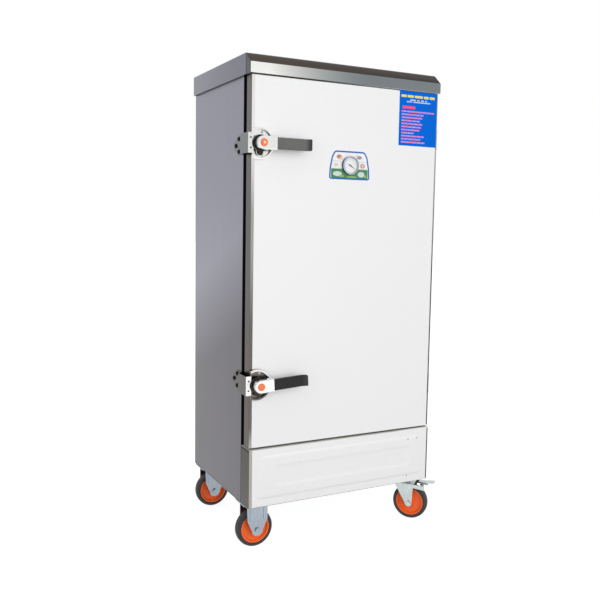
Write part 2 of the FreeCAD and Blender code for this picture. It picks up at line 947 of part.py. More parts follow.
def latch_base(label):
    """Dished escutcheon, cut off at the door's edge, with a bush for the spindle."""
    item = new_body("latch_base")
    floor = at["latch_base_floor"]
    pad(item, circle(item, "XZ", at["latch_base_radius"]), at["latch_base_height"])
    rounded(item, at["latch_base_height"] / 3,
            lambda edge: lies_at(edge, "Y", -at["latch_base_height"]))
    bowl = at["latch_bowl_radius"]
    turned(item, [(0, -floor), (bowl - skin, -floor), (bowl, -at["latch_base_height"] - skin),
                  (0, -at["latch_base_height"] - skin)], cutting=True)
    edge = at["latch_edge"] - at["latch_base_edge"]
    far = at["latch_base_radius"] + skin
    strip = [(-far, -far), (-edge, -far), (-edge, far), (-far, far)]
    pocket(item, polygon(item, "XZ", strip, -skin), at["latch_base_height"] + skin * 2)
    boss_top = at["cam_back"] - at["seal_clearance"]
    pad(item, circle(item, "XZ", at["latch_boss_radius"]), boss_top)
    bore = at["spindle_radius"] + at["spindle_clearance"]
    pocket(item, circle(item, "XZ", bore, start=at["face_sheet"]), boss_top)
    return place(item, latch_middle, front, latch_heights[label])


def latch_screws():
    """Two screws in each escutcheon's floor."""
    screws = []
    angle = math.radians(at["latch_screw_angle"].value)
    turn = f"{at['latch_screw_angle'].text} * 1 deg"
    across = at["latch_screw_radius"] * Size(f"cos({turn})", math.cos(angle))
    up = at["latch_screw_radius"] * Size(f"sin({turn})", math.sin(angle))
    face = front - at["latch_base_floor"]
    for level in latch_heights.values():
        for side in (-1, 1):
            start = (latch_middle + across, face - at["latch_screw_head"] / 2, level + up * side)
            screws.append(rod(at["latch_screw_head"], start, at["latch_screw_head"] / 2, "y"))
    node(group(*screws), "latch_screws")


def hook_plate():
    """Plate keyed on the spindle behind the cam disc. Its lobe turns in behind the keeper."""
    item = new_body("hook_plate")
    level, deep = at["cam_back"], at["lobe_thickness"]
    lobe, tip = at["lobe_half_width"], at["lobe_reach"] - at["lobe_half_width"]
    outline = [(-lobe, -tip), (lobe, -tip), (lobe, 0), (-lobe, 0)]
    pad(item, polygon(item, "XZ", outline, level), deep)
    pad(item, circle(item, "XZ", lobe, (0, -tip), level), deep)
    pad(item, circle(item, "XZ", at["hook_hub_radius"], start=level), deep)
    bore = at["spindle_radius"] + at["spindle_clearance"]
    pocket(item, circle(item, "XZ", bore, start=level - skin), deep + skin * 2)
    return item


def latch_lever(label, raised=None):
    """Steel lever with its hook plate: spindle, cam disc, neck, head and the grip's tongue."""
    item = new_body("lever")
    back_face, front_face = at["head_back"], at["head_front"]
    cam_back = at["cam_back"] + at["lobe_thickness"]
    pad(item, circle(item, "XZ", at["cam_radius"], start=cam_back), at["cam_front"] - cam_back)
    spindle_end = at["face_sheet"] + at["seal_clearance"]
    pad(item, circle(item, "XZ", at["spindle_radius"], start=spindle_end), cam_back - spindle_end)
    pad(item, circle(item, "XZ", at["neck_radius"], start=at["cam_front"]),
        back_face - at["cam_front"])
    tall = at["head_half_height"]
    deep = front_face - back_face
    pad(item, circle(item, "XZ", tall, start=back_face), deep)
    head = [(0, -tall), (at["head_reach"], -tall), (at["head_reach"], tall), (0, tall)]
    pad(item, polygon(item, "XZ", head, back_face), deep)
    rounded(item, at["head_round"],
            lambda edge: lies_at(edge, "Y", -front_face) and
            edge.BoundBox.XMin < (at["head_reach"] - at["head_round"]).value)
    tongue = at["tongue_half_height"]
    reach = at["head_reach"] + at["tongue_length"]
    strip = [(at["head_reach"], -tongue), (reach, -tongue), (reach, tongue),
             (at["head_reach"], tongue)]
    level = front_face - at["grip_thickness"] / 2 - at["tongue_thickness"] / 2
    pad(item, polygon(item, "XZ", strip, level), at["tongue_thickness"])
    bore = at["button_radius"] + at["button_clearance"]
    floor = front_face + at["button_proud"] - at["button_length"] - at["button_travel"]
    pocket(item, circle(item, "XZ", bore, start=floor), deep)
    hook = hook_plate()
    for piece in (item, hook):
        place_latch(piece, label, raised)
    node(group(item, hook), f"latch_lever_{label}")


def latch_grip(label, raised=None):
    """Moulded grip that slides over the tongue and flares out at its tip."""
    item = new_body(f"latch_grip_{label}")
    near, far = at["head_reach"], at["head_reach"] + at["grip_length"]
    outer, inner = at["head_front"], at["head_front"] - at["grip_thickness"]
    bend, flare = far - at["grip_tip"], at["grip_flare"]
    outline = [(near, -inner), (bend, -inner), (far, -inner - flare),
               (far, -outer - flare), (bend, -outer), (near, -outer)]
    pad(item, polygon(item, "XY", outline), at["grip_height"], middle=True)
    rounded(item, at["grip_tip"], lambda edge: runs_along(edge, (0, 0, 1)) and
            abs(edge.CenterOfMass.x - bend.value) < 0.01)
    rounded(item, at["grip_round"], lambda edge: edge.BoundBox.ZLength < 0.01)
    gap = at["grip_clearance"]
    tongue = at["tongue_half_height"] + gap
    reach = near + at["tongue_length"] + gap
    slot = [(near - gap, -tongue), (reach, -tongue), (reach, tongue), (near - gap, tongue)]
    level = at["head_front"] - at["grip_thickness"] / 2 - at["tongue_thickness"] / 2 - gap
    pocket(item, polygon(item, "XZ", slot, level), at["tongue_thickness"] + gap * 2)
    place_latch(item, label, raised)
    node(item, f"latch_grip_{label}")


def latch_button(label, raised=None):
    """Domed push button in the lever's head."""
    item = new_body(f"latch_button_{label}")
    top = at["head_front"] + at["button_proud"]
    pad(item, circle(item, "XZ", at["button_radius"], start=top - at["button_length"]),
        at["button_length"])
    rounded(item, at["button_round"], lambda edge: lies_at(edge, "Y", -top))
    place_latch(item, label, raised)
    node(item, f"latch_button_{label}")


def place_latch(item, label, raised):
    """Stands a latch piece on its pivot, with the lever level or raised."""
    spot = (latch_middle, front, latch_heights[label])
    if raised is None:
        place(item, *spot)
    else:
        place(item, *spot, axis=(0, -1, 0), angle=raised)


def keeper(label):
    """Strap on the cabinet's side that steps out past the door and hooks over its face."""
    item = new_body("keeper")
    gauge = at["keeper_sheet"]
    out = at["keeper_standoff"]
    hook = front - at["keeper_flange_front"]
    bend = seam - gauge
    rear = seam + at["keeper_plate_length"]
    step = at["keeper_step"]
    lap = at["keeper_flange_gap"]
    outline = [
        (-half, rear), (-half, bend), (-half - out, bend - step), (-half - out, hook + gauge),
        (-half - lap, hook + gauge), (-half - lap, hook), (-half - out - gauge, hook),
        (-half - out - gauge, bend - step), (-half - gauge, bend), (-half - gauge, rear),
    ]
    pad(item, polygon(item, "XY", outline), at["keeper_half_height"] * 2, middle=True)
    doc.recompute()
    nose = at["keeper_nose"]
    tall = at["keeper_half_height"]
    for side in (-1, 1):
        corner = [(rear - nose, tall * side), (rear + gauge, tall * side),
                  (rear + gauge, tall * side / 3)]
        pocket(item, polygon(item, "YZ", corner, -half - gauge * 2), gauge * 3)
    notch = at["cam_radius"] + at["keeper_notch_gap"]
    pocket(item, circle(item, "XZ", notch, (latch_middle, 0), -hook - gauge * 2), gauge * 3)
    return place(item, 0, 0, latch_heights[label])


def keeper_screws():
    """Three round-head screws in each strap and two small ones in its hook."""
    screws = []
    face = -half - at["keeper_sheet"]
    height = at["keeper_screw_height"]
    hook = front - at["keeper_flange_front"]
    across = -half - (at["keeper_standoff"] + at["keeper_flange_gap"]) / 2
    for level in latch_heights.values():
        spots = [(at["keeper_screw_rear"], 0 * at["keeper_screw_rise"]),
                 (at["keeper_screw_front"], at["keeper_screw_rise"]),
                 (at["keeper_screw_front"], -at["keeper_screw_rise"])]
        for along, rise in spots:
            screws.append(rod(at["keeper_screw_radius"], (face - height, seam + along, level + rise),
                              height, "x"))
        for side in (-1, 1):
            start = (across, hook - height / 2, level + at["keeper_stud_rise"] * side)
            screws.append(rod(at["keeper_stud_radius"], start, height / 2, "y"))
    node(group(*screws), "keeper_screws")


# Hinges

def hinge_frame_leaves():
    """Cabinet halves of the lift-off hinges, each with its pin."""
    leaves = []
    axis_x, axis_y = hinge_axis
    knuckle, leaf = at["hinge_knuckle"], at["hinge_leaf"]
    edge = axis_y + knuckle + at["hinge_split"] * 3
    middle = at["hinge_height"] / 2 - at["hinge_split"] / 2
    for level in hinge_heights.values():
        plate = block((half, half + leaf), (edge, seam + at["hinge_reach"]),
                      (level, level + at["hinge_height"]))
        arm = block((half, half + leaf), (axis_y, edge), (level, level + middle))
        barrel = rod(knuckle, (axis_x, axis_y, level), middle)
        pin = rod(at["hinge_pin"], (axis_x, axis_y, level), middle + at["hinge_pin_depth"])
        leaves.append(fuse(plate, arm, barrel, pin))
    node(group(*leaves), "hinge_frame_leaves")


def hinge_door_leaves():
    """Door halves of the hinges, bored to drop over the pins."""
    leaves = []
    axis_x, axis_y = hinge_axis
    knuckle, leaf = at["hinge_knuckle"], at["hinge_leaf"]
    edge = axis_y - knuckle - at["hinge_split"] * 3
    middle = at["hinge_height"] / 2 + at["hinge_split"] / 2
    for level in hinge_heights.values():
        top = level + at["hinge_height"]
        plate = block((half, half + leaf), (door_back - at["hinge_reach"] + leaf, edge),
                      (level, top))
        arm = block((half, half + leaf), (edge, axis_y), (level + middle, top))
        barrel = rod(knuckle, (axis_x, axis_y, level + middle), at["hinge_height"] - middle)
        bore = rod(at["hinge_pin"] + at["hinge_clearance"], (axis_x, axis_y, level + middle),
                   at["hinge_pin_depth"] + at["hinge_split"])
        leaves.append(cut(fuse(plate, arm, barrel), bore))
    node(group(*leaves), "hinge_door_leaves")


# Dial thermometer

def thermometer():
    """Case with its stem through the door, the turning hand and the glass."""
    case = new_body("thermometer_case")
    radius, rim, depth = at["dial_radius"], at["dial_rim"], at["dial_depth"]
    floor = at["dial_floor"]
    stem_end = at["door_thickness"] + at["seal_gap"] + at["stem_length"]
    turned(case, [
        (0, stem_end), (at["stem_radius"], stem_end), (at["stem_radius"], 0), (radius, 0),
        (radius, -depth + rim / 2), (radius - rim / 2, -depth), (radius - rim, -depth),
        (radius - rim, -floor), (0, -floor),
    ])
    place(case, 0, front, dial_height)
    node(case, "thermometer_case")

    lens_back = depth - rim / 2 - at["lens_thickness"]
    lens = rod(radius - rim - at["stem_clearance"] / 3, (0, front - lens_back - at["lens_thickness"],
                                                        dial_height), at["lens_thickness"], "y")
    node(lens, "thermometer_lens")

    hand = new_body("thermometer_hand")
    long, wide = at["hand_length"], at["hand_width"]
    start = floor + at["hand_thickness"]
    outline = [(-long / 3, -wide / 2), (0, -wide), (long, 0), (0, wide), (-long / 3, wide / 2)]
    pad(hand, polygon(hand, "XZ", outline, start), at["hand_thickness"])
    pad(hand, circle(hand, "XZ", at["hand_pin"], start=floor + at["seal_clearance"] / 3),
        lens_back - floor - at["seal_clearance"])
    place(hand, 0, front, dial_height, axis=(0, 1, 0), angle=at["hand_angle"])
    node(hand, "thermometer_hand")


# Casters. Each piece is drawn under the middle of its mounting plate and then placed.

def place_caster(item, x, y, angle=None):
    """Stands a caster piece under the base, turned about the swivel axis if it has one."""
    if angle is None:
        return place(item, x, y, underside)
    return place(item, x, y, underside, axis=(0, 0, 1), angle=angle)


def mounting_plate(item):
    """Bolted top plate with its four holes."""
    across, along = at["plate_across"] / 2, at["plate_along"] / 2
    gauge = at["plate_sheet"]
    pad(item, polygon(item, "XY", [(-across, -along), (across, -along), (across, along),
                                   (-across, along)], -gauge), gauge)
    rounded(item, gauge * 3, lambda edge: runs_along(edge, (0, 0, 1)))
    for i in (-1, 1):
        for j in (-1, 1):
            spot = (at["bolt_pitch_across"] / 2 * i, at["bolt_pitch_along"] / 2 * j)
            hole = circle(item, "XY", at["bolt_radius"] + at["bolt_clearance"], spot, -gauge * 2)
            pocket(item, hole, gauge * 3)


def rigid_forks():
    """Pressed forks of the two fixed casters on the left, with beads down each leg."""
    forks = []
    gauge, gap = at["fork_sheet"], at["fork_gap"]
    wide, straight = at["fork_half_width"], at["fork_straight"]
    nose = at["fork_nose"]
    top = -at["plate_sheet"]
    for y in (caster_front, caster_rear):
        item = new_body("rigid_fork")
        mounting_plate(item)
        outline = [(-wide, top), (wide, top), (wide, -straight), (nose, -axle_drop),
                   (-nose, -axle_drop), (-wide, -straight)]
        for start in (gap, -gap - gauge):
            pad(item, polygon(item, "XZ", outline, start), gauge)
            pad(item, circle(item, "XZ", nose, (0, -axle_drop), start), gauge)
        bead, rise = at["fork_bead"], at["fork_bead_rise"]
        for side in (-1, 1):
            middle = (wide - bead * 2) * side
            strip = [(middle - bead / 2, top), (middle + bead / 2, top),
                     (middle + bead / 2, -straight), (middle - bead / 2, -straight)]
            for start in (gap + gauge, -gap - gauge - rise):
                pad(item, polygon(item, "XZ", strip, start), rise)
        hole = circle(item, "XZ", at["axle_radius"] + at["axle_clearance"], (0, -axle_drop))
        pocket(item, hole, (gap + gauge) * 3, middle=True)
        place_caster(item, -caster_side, y)
        forks.append(item)
    node(group(*forks), "rigid_caster_forks")


def axle_bolt(item, across, gauge):
    """Axle bolt with a head and a nut outside the two legs."""
    reach = at["fork_gap"] + gauge
    nut, height = at["nut_radius"], at["nut_height"]
    turned(item, [
        (0, -reach - height), (nut, -reach - height), (nut, -reach),
        (at["axle_radius"], -reach), (at["axle_radius"], reach), (nut, reach),
        (nut, reach + height), (0, reach + height),
    ], shift=(across, 0), start=-axle_drop)


def wheel(label, x, y, trail, angle=None):
    """Moulded hub and the rubber tyre round it."""
    hub = new_body(f"wheel_hub_{label}")
    bore = at["axle_radius"] + at["axle_clearance"]
    boss, side, web = at["hub_boss"], at["hub_half_width"], at["hub_web"]
    rim, outer = at["hub_radius"] - at["hub_rim"], at["hub_radius"]
    tread = at["wheel_width"] / 2
    turned(hub, [
        (bore, -side), (boss, -side), (boss + 4, -web), (rim - 4, -web), (rim, -tread + 2),
        (outer, -tread + 2), (outer, tread - 2), (rim, tread - 2), (rim - 4, web),
        (boss + 4, web), (boss, side), (bore, side),
    ], shift=(trail, 0), start=-axle_drop)
    place_caster(hub, x, y, angle)
    node(hub, f"wheel_hub_{label}")

    tyre = new_body(f"tyre_{label}")
    crown = at["wheel_radius"]
    turned(tyre, [
        (outer, -tread + 2), (outer + 3, -tread), (crown - 6, -tread), (crown - 1.5, -tread + 4),
        (crown, -tread + 10), (crown, tread - 10), (crown - 1.5, tread - 4), (crown - 6, tread),
        (outer + 3, tread), (outer, tread - 2),
    ], shift=(trail, 0), start=-axle_drop)
    place_caster(tyre, x, y, angle)
    node(tyre, f"tyre_{label}")


def swivel_plates():
    """Mounting plates of the two swivel casters, with the upper race and the kingpin."""
    plates = []
    top = -at["plate_sheet"]
    crown = -at["crown_drop"] - at["fork_sheet"]
    pin, head, gap = at["kingpin_radius"], at["kingpin_head"], at["race_gap"]
    for y in (caster_front, caster_rear):
        item = new_body("swivel_plate")
        mounting_plate(item)
        turned(item, [
            (0, top), (at["race_radius"], top), (at["race_radius"], top - at["race_depth"]),
            (pin, top - at["race_depth"]), (pin, crown - gap), (head, crown - gap),
            (head, crown - gap - at["fork_sheet"]), (0, crown - gap - at["fork_sheet"]),
        ], plane="XZ")
        place_caster(item, caster_side, y)
        plates.append(item)
    node(group(*plates), "swivel_plates")


def swivel_fork(label, y, angle):
    """Fork that trails behind the kingpin, with cheeks that hold the brake pedal."""
    item = new_body(f"swivel_fork_{label}")
    gauge, gap = at["fork_sheet"], at["fork_gap"]
    crown, trail = -at["crown_drop"], at["swivel_trail"]
    race = -at["plate_sheet"] - at["race_depth"] - at["race_gap"]
    pin = at["kingpin_radius"] + at["axle_clearance"]
    lead = at["swivel_nose"] * 2
    cheek, nose = at["cheek_reach"], at["swivel_nose"]
    pivot_drop = at["pedal_pivot_drop"]
    far, shoulder = trail + at["crown_reach"], at["cheek_shoulder"]
    top = [(-lead, -gap - gauge), (far, -gap - gauge), (far, gap + gauge), (-lead, gap + gauge)]
    pad(item, polygon(item, "XY", top, crown - gauge), gauge)
    turned(item, [(0, crown), (at["race_radius"] - 2, crown), (at["race_radius"] - 2, race),
                  (0, race)], plane="XZ")
    outline = [
        (-lead, crown), (far, crown), (cheek, crown - shoulder),
        (cheek, -pivot_drop - at["cheek_edge"]), (far, -pivot_drop - at["cheek_heel"]),
        (trail + nose, -axle_drop), (trail - nose, -axle_drop),
    ]
    for start in (gap, -gap - gauge):
        pad(item, polygon(item, "XZ", outline, start), gauge)
        pad(item, circle(item, "XZ", nose, (trail, -axle_drop), start), gauge)
    pocket(item, circle(item, "XY", pin, start=crown - gauge * 2), at["crown_drop"])
    hole = circle(item, "XZ", at["axle_radius"] + at["axle_clearance"], (trail, -axle_drop))
    pocket(item, hole, (gap + gauge) * 3, middle=True)
    rivet = circle(item, "XZ", at["pedal_pin"], (at["pedal_pivot"], -pivot_drop))
    pad(item, rivet, (gap + gauge) * 2, middle=True)
    place_caster(item, caster_side, y, angle)
    node(item, f"swivel_fork_{label}")

    axle = new_body(f"swivel_axle_{label}")
    axle_bolt(axle, trail, gauge)
    place_caster(axle, caster_side, y, angle)
    node(axle, f"swivel_axle_{label}")


def brake_pedal(label, y, angle):
    """Sheet pedal that rocks on the rivet between the cheeks, with a tread at its tip."""
    item = new_body(f"brake_pedal_{label}")
    gauge = at["pedal_sheet"]
    pivot, drop = at["pedal_pivot"], at["pedal_pivot_drop"]
    reach, fall = at["pedal_reach"], at["pedal_tip_drop"]
    ear = at["pedal_pin"] * 2
    near, bend = pivot - ear * 2, at["cheek_reach"] + ear
    high = -at["pedal_level"]
    strip = [(near, high - gauge), (bend, high - gauge), (bend, high), (near, high)]
    pad(item, polygon(item, "XZ", strip), at["pedal_arm_width"], middle=True)
    tread = [(bend - gauge, high - gauge), (reach, high - gauge - fall), (reach, high - fall),
             (bend, high), (bend - gauge, high)]
    pad(item, polygon(item, "XZ", tread), at["pedal_width"], middle=True)
    rounded(item, gauge * 2, lambda edge: abs(edge.CenterOfMass.x - reach.value) < 0.01 and
            abs(abs(edge.CenterOfMass.y) - at["pedal_width"].value / 2) < 0.01)
    ear_side = at["pedal_arm_width"] / 2
    flank = [(pivot - ear, -drop), (pivot + ear, -drop), (pivot + ear, high), (pivot - ear, high)]
    for start in (ear_side - gauge, -ear_side):
        pad(item, polygon(item, "XZ", flank, start), gauge)
        pad(item, circle(item, "XZ", ear, (pivot, -drop), start), gauge)
    hole = circle(item, "XZ", at["pedal_pin"] + at["axle_clearance"], (pivot, -drop))
    pocket(item, hole, at["fork_gap"] * 3, middle=True)
    place_caster(item, caster_side, y, angle)
    node(item, f"brake_pedal_{label}")


def casters():
    """Two fixed casters on the left and two braked swivel casters on the right."""
    rigid_forks()
    swivel_plates()
    for label, y, angle in (("front", caster_front, at["front_swivel_angle"]),
                            ("rear", caster_rear, at["rear_swivel_angle"])):
        wheel(f"left_{label}", -caster_side, y, 0)
        wheel(f"right_{label}", caster_side, y, at["swivel_trail"], angle)
        swivel_fork(label, y, angle)
        brake_pedal(label, y, angle)


# Back of the cabinet

def feed_middle():
    """Middle of the water feed box across the back."""
    return feed_left + at["feed_width"] / 2


def feed_pipe_level():
    """Height of the pipe that joins the feed box to the tank."""
    return underside + at["feed_bottom"] + at["feed_pipe_height"]


def water_feed():
    """Feed box with its cover, the float valve and the float on its arm."""
    wall = at["feed_wall"]
    wide = (feed_left, feed_left + at["feed_width"])
    deep = (back, back + at["feed_depth"])
    low = underside + at["feed_bottom"]
    high = low + at["feed_height"]
    inlet_level = high - at["inlet_drop"]
    middle_y = back + at["feed_depth"] / 2
    shell = tray_shape(wide, deep, (low, high), wall, "+z")
    pipe = rod(at["feed_pipe_radius"], (feed_middle(), chamber_back, feed_pipe_level()),
               back + wall - chamber_back, "y")
    bore = rod(at["feed_pipe_radius"] - wall, (feed_middle(), chamber_back - wall,
                                               feed_pipe_level()),
               back + wall * 3 - chamber_back, "y")
    inlet_hole = rod(at["inlet_neck"] + at["seal_clearance"],
                     (wide[0] - wall, middle_y, inlet_level), wall * 3, "x")
    node(cut(fuse(shell, pipe), bore, inlet_hole), "feed_box")

    lap = at["feed_cover_lap"]
    cover = cut(
        block((wide[0] - wall, wide[1] + wall), (back, deep[1] + wall), (high - lap, high + wall)),
        block(wide, (back - wall, deep[1]), (high - lap - wall, high)),
    )
    node(cover, "feed_cover")

    block_size = at["valve_block"]
    seat = wide[0] + wall
    hub_x = seat + block_size
    stub = rod(at["inlet_radius"], (wide[0] - at["inlet_length"], middle_y, inlet_level),
               at["inlet_length"], "x")
    neck = rod(at["inlet_neck"], (wide[0] - wall, middle_y, inlet_level), wall * 3, "x")
    body = block((seat, seat + block_size), (middle_y - block_size / 2, middle_y + block_size / 2),
                 (inlet_level - block_size / 2, inlet_level + block_size / 2))
    way = rod(at["inlet_radius"] / 2, (wide[0] - at["inlet_length"] - wall, middle_y, inlet_level),
              at["inlet_length"] + block_size / 2, "x")
    ear = at["float_rod"] * 2
    lug = rod(ear, (hub_x, middle_y - ear, inlet_level), ear * 2, "y")
    pivot_x = hub_x + ear * 2 / 3
    hole = rod(at["float_rod"] / 2 + at["axle_clearance"],
               (pivot_x, middle_y - ear * 2, inlet_level), ear * 4, "y")
    clear = at["float_rod"] / 2 + at["seal_clearance"]
    slit = block((hub_x, hub_x + ear * 3), (middle_y - clear, middle_y + clear),
                 (inlet_level - ear * 2, inlet_level + ear * 2))
    node(cut(fuse(stub, neck, body, lug), way, hole, slit), "float_valve")

    tilt = at["float_drop"]
    arm = at["float_arm_length"]
    pin = rod(at["float_rod"] / 2, (pivot_x, middle_y - ear, inlet_level), ear * 2, "y")
    end = (pivot_x + arm, middle_y, inlet_level - tilt)
    float_item = new_body("float_arm_strip")
    thick = at["float_rod"]
    strip = [(pivot_x - thick, inlet_level - thick / 2), (pivot_x + thick, inlet_level - thick / 2),
             (pivot_x + arm, inlet_level - tilt - thick / 2),
             (pivot_x + arm, inlet_level - tilt + thick / 2),
             (pivot_x + thick, inlet_level + thick / 2), (pivot_x - thick, inlet_level + thick / 2)]
    pad(float_item, polygon(float_item, "XZ", strip, -middle_y - thick / 2), thick)
    node(fuse(float_item, pin, ball(at["float_radius"], end)), "float_arm")


def drain():
    """Ball valve on a pipe from the tank, with its quarter-turn lever."""
    x, z = drain_side, underside + at["drain_height"]
    reach = back + at["drain_reach"] - chamber_back
    pipe = rod(at["drain_pipe_radius"], (x, chamber_back, z), reach, "y")
    valve_y = back + at["drain_reach"] / 3
    shell = rod(at["valve_radius"], (x, valve_y - at["valve_length"] / 2, z),
                at["valve_length"], "y")
    neck = rod(at["drain_stem_radius"] * 2, (x, valve_y, z), at["valve_radius"] + 4)
    bore = rod(at["drain_bore"], (x, chamber_back - skin, z), reach + skin * 2, "y")
    gland = rod(at["drain_stem_radius"] + at["axle_clearance"], (x, valve_y, z + at["drain_bore"]),
                at["valve_radius"])
    node(cut(fuse(pipe, shell, neck), bore, gland), "drain_valve")

    seat = z + at["valve_radius"] + 4 + at["race_gap"]
    wide, gauge = at["drain_lever_width"] / 2, at["drain_lever_sheet"]
    stem = rod(at["drain_stem_radius"], (x, valve_y, z + at["drain_bore"] + skin),
               at["valve_radius"] + 4 + at["race_gap"] + gauge - at["drain_bore"] - skin)
    hub = rod(wide, (x, valve_y, seat), gauge)
    blade = block((x - at["drain_lever_length"], x), (valve_y - wide, valve_y + wide),
                  (seat, seat + gauge))
    node(fuse(stem, hub, blade), "drain_lever")


def steam_vent():
    """Vent tube from the top of the chamber out through the back, with its collar."""
    z = vent_level
    length = back + at["vent_reach"] - chamber_back
    tube = rod(at["vent_radius"], (0, chamber_back, z), length, "y")
    collar = rod(at["vent_collar"], (0, back, z), at["vent_wall"], "y")
    bore = rod(at["vent_radius"] - at["vent_wall"], (0, chamber_back - skin, z),
               length + skin * 2, "y")
    node(cut(fuse(tube, collar), bore), "steam_vent")


def terminal_box():
    """Closed electrical box with a cable gland in its floor."""
    wide = at["box_width"] / 2
    low = underside + at["box_bottom"]
    wall = at["box_wall"]
    deep = (back, back + at["box_depth"])
    tall = (low, low + at["box_height"])
    middle_y = back + at["box_depth"] / 2
    outer = block((-wide, wide), deep, tall)
    inner = block((wall - wide, wide - wall), (deep[0] + wall, deep[1] - wall),
                  (tall[0] + wall, tall[1] - wall))
    thread = at["gland_radius"] * 4 / 5
    hole = rod(thread, (0, middle_y, low - wall), wall * 3)
    node(cut(outer, inner, hole), "terminal_box")

    gland = fuse(
        rod(at["gland_radius"], (0, middle_y, low - at["gland_length"]), at["gland_length"]),
        rod(thread, (0, middle_y, low - wall), wall * 4),
    )
    way = rod(at["gland_bore"], (0, middle_y, low - at["gland_length"] - wall),
              at["gland_length"] + wall * 8)
    node(cut(gland, way), "cable_gland")


def build():
    """All sub-parts, from the outer cabinet to the casters."""
    side_panels()
    back_panel()
    top_lid()
    visor()
    chamber_liner()
    foam_insulation()
    base_plate()
    caster_fasteners()
    water_tank()
    heating_elements()
    tray_rails()
    rice_trays()
    door_sheets()
    door_gasket()
    lower_panel()
    lower_panel_face()
    node(group(*[latch_base(label) for label in latch_heights]), "latch_bases")
    node(group(*[keeper(label) for label in latch_heights]), "latch_keepers")
    for label, raised in (("upper", None), ("lower", at["lower_lever_raise"])):
        latch_lever(label, raised)
        latch_grip(label, raised)
        latch_button(label, raised)
    latch_screws()
    keeper_screws()
    hinge_frame_leaves()
    hinge_door_leaves()
    thermometer()
    casters()
    water_feed()
    drain()
    steam_vent()
    terminal_box()


def export():
    """Checks every object and every sub-part, then writes one file for each."""
    doc.recompute()
    for item in doc.Objects:
        if {"Invalid", "Error"} & set(item.State):
            raise RuntimeError(f"{item.Name} ({item.Label}) failed: {item.State}")
    for item in NODES:
        if item.Shape.isNull() or not item.Shape.isValid():
            raise RuntimeError(f"{item.Label} has no valid shape")
    os.makedirs("parts", exist_ok=True)
    for item in NODES:
        item.Shape.exportStep(f"parts/{item.Label}.step")


build()
export()
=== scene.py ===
import json
import math

import bpy
import numpy as np
from mathutils import Matrix, Vector


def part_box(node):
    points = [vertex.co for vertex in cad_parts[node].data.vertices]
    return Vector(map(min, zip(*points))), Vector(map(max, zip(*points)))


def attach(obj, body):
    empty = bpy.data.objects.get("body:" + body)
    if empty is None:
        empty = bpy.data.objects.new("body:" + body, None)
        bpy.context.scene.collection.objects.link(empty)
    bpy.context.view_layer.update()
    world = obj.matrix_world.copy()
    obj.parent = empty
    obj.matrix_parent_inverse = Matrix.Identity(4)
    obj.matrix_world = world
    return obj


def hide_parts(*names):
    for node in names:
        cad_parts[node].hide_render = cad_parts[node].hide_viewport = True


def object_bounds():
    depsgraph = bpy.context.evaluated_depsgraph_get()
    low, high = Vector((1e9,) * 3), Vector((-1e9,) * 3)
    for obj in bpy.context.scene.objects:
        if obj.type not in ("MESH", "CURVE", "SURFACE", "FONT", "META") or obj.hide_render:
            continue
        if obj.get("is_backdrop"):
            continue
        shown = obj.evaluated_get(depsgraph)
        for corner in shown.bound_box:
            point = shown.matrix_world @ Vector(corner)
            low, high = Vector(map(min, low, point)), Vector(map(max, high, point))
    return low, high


bl_info = {
    "name": "Rice steamer",
    "version": (1, 0, 0),
    "blender": (4, 5, 0),
    "location": "View3D > Sidebar > Steamer",
    "description": "Dresses the packed rice steamer with its finishes, labels and a studio",
    "category": "Object",
}

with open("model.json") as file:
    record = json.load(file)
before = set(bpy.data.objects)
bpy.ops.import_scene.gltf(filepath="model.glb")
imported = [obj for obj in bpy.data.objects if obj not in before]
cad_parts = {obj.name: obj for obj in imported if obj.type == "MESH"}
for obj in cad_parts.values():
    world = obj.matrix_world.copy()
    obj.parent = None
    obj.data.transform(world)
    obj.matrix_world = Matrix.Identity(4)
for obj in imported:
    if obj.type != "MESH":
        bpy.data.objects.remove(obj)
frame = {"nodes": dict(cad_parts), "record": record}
CAD_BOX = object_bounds()
NODES = frame["nodes"]
SLOTS = {row["node"]: row["material_slot"] for row in frame["record"]["subparts"]}

MM = 0.001
FINE = 0.01 * MM
DOOR_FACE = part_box("door_face")
DOOR_FRONT = DOOR_FACE[0].y
DIAL_LOW, DIAL_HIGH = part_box("thermometer_case")
DIAL_Z = (DIAL_LOW.z + DIAL_HIGH.z) / 2
KEEPER_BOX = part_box("latch_keepers")
HALF_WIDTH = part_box("lower_panel")[1].x
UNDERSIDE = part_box("lower_panel")[0].z - 2 * MM
LATCH_X = 22 * MM - HALF_WIDTH
STRIP_LEFT, STRIP_RIGHT = 4.5 * MM, 2 * MM
FOLD_SEEN = 6.5 * MM
SHEET_CORNER, SHEET_EDGE = 3 * MM, 0.5 * MM
SHARP_ANGLE = math.radians(35)
X, Y, Z = (1, 0, 0), (0, 1, 0), (0, 0, 1)
BUTTONS = {name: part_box("latch_button_" + name) for name in ("lower", "upper")}
LATCH_LEVELS = [(low.z + high.z) / 2 for low, high in BUTTONS.values()]

# How a piece's own width, height and depth run in the room, for each way that it can face
FACING = {
    "front": lambda a, b, h: (a, -h, b),
    "back": lambda a, b, h: (-a, h, b),
    "left": lambda a, b, h: (-h, -a, b),
    "right": lambda a, b, h: (h, a, b),
    "up": lambda a, b, h: (a, b, h),
}


# Colours and numbers

def linear(code):
    """An sRGB hex colour as linear red, green, blue and alpha."""
    values = [int(code[i:i + 2], 16) / 255 for i in (1, 3, 5)]
    return (*(v / 12.92 if v <= 0.04045 else ((v + 0.055) / 1.055) ** 2.4 for v in values), 1)


def colour_property(name, code, description):
    """A colour that the panel shows."""
    return bpy.props.FloatVectorProperty(
        name=name, description=description, subtype="COLOR", size=3, min=0, max=1,
        default=linear(code)[:3])


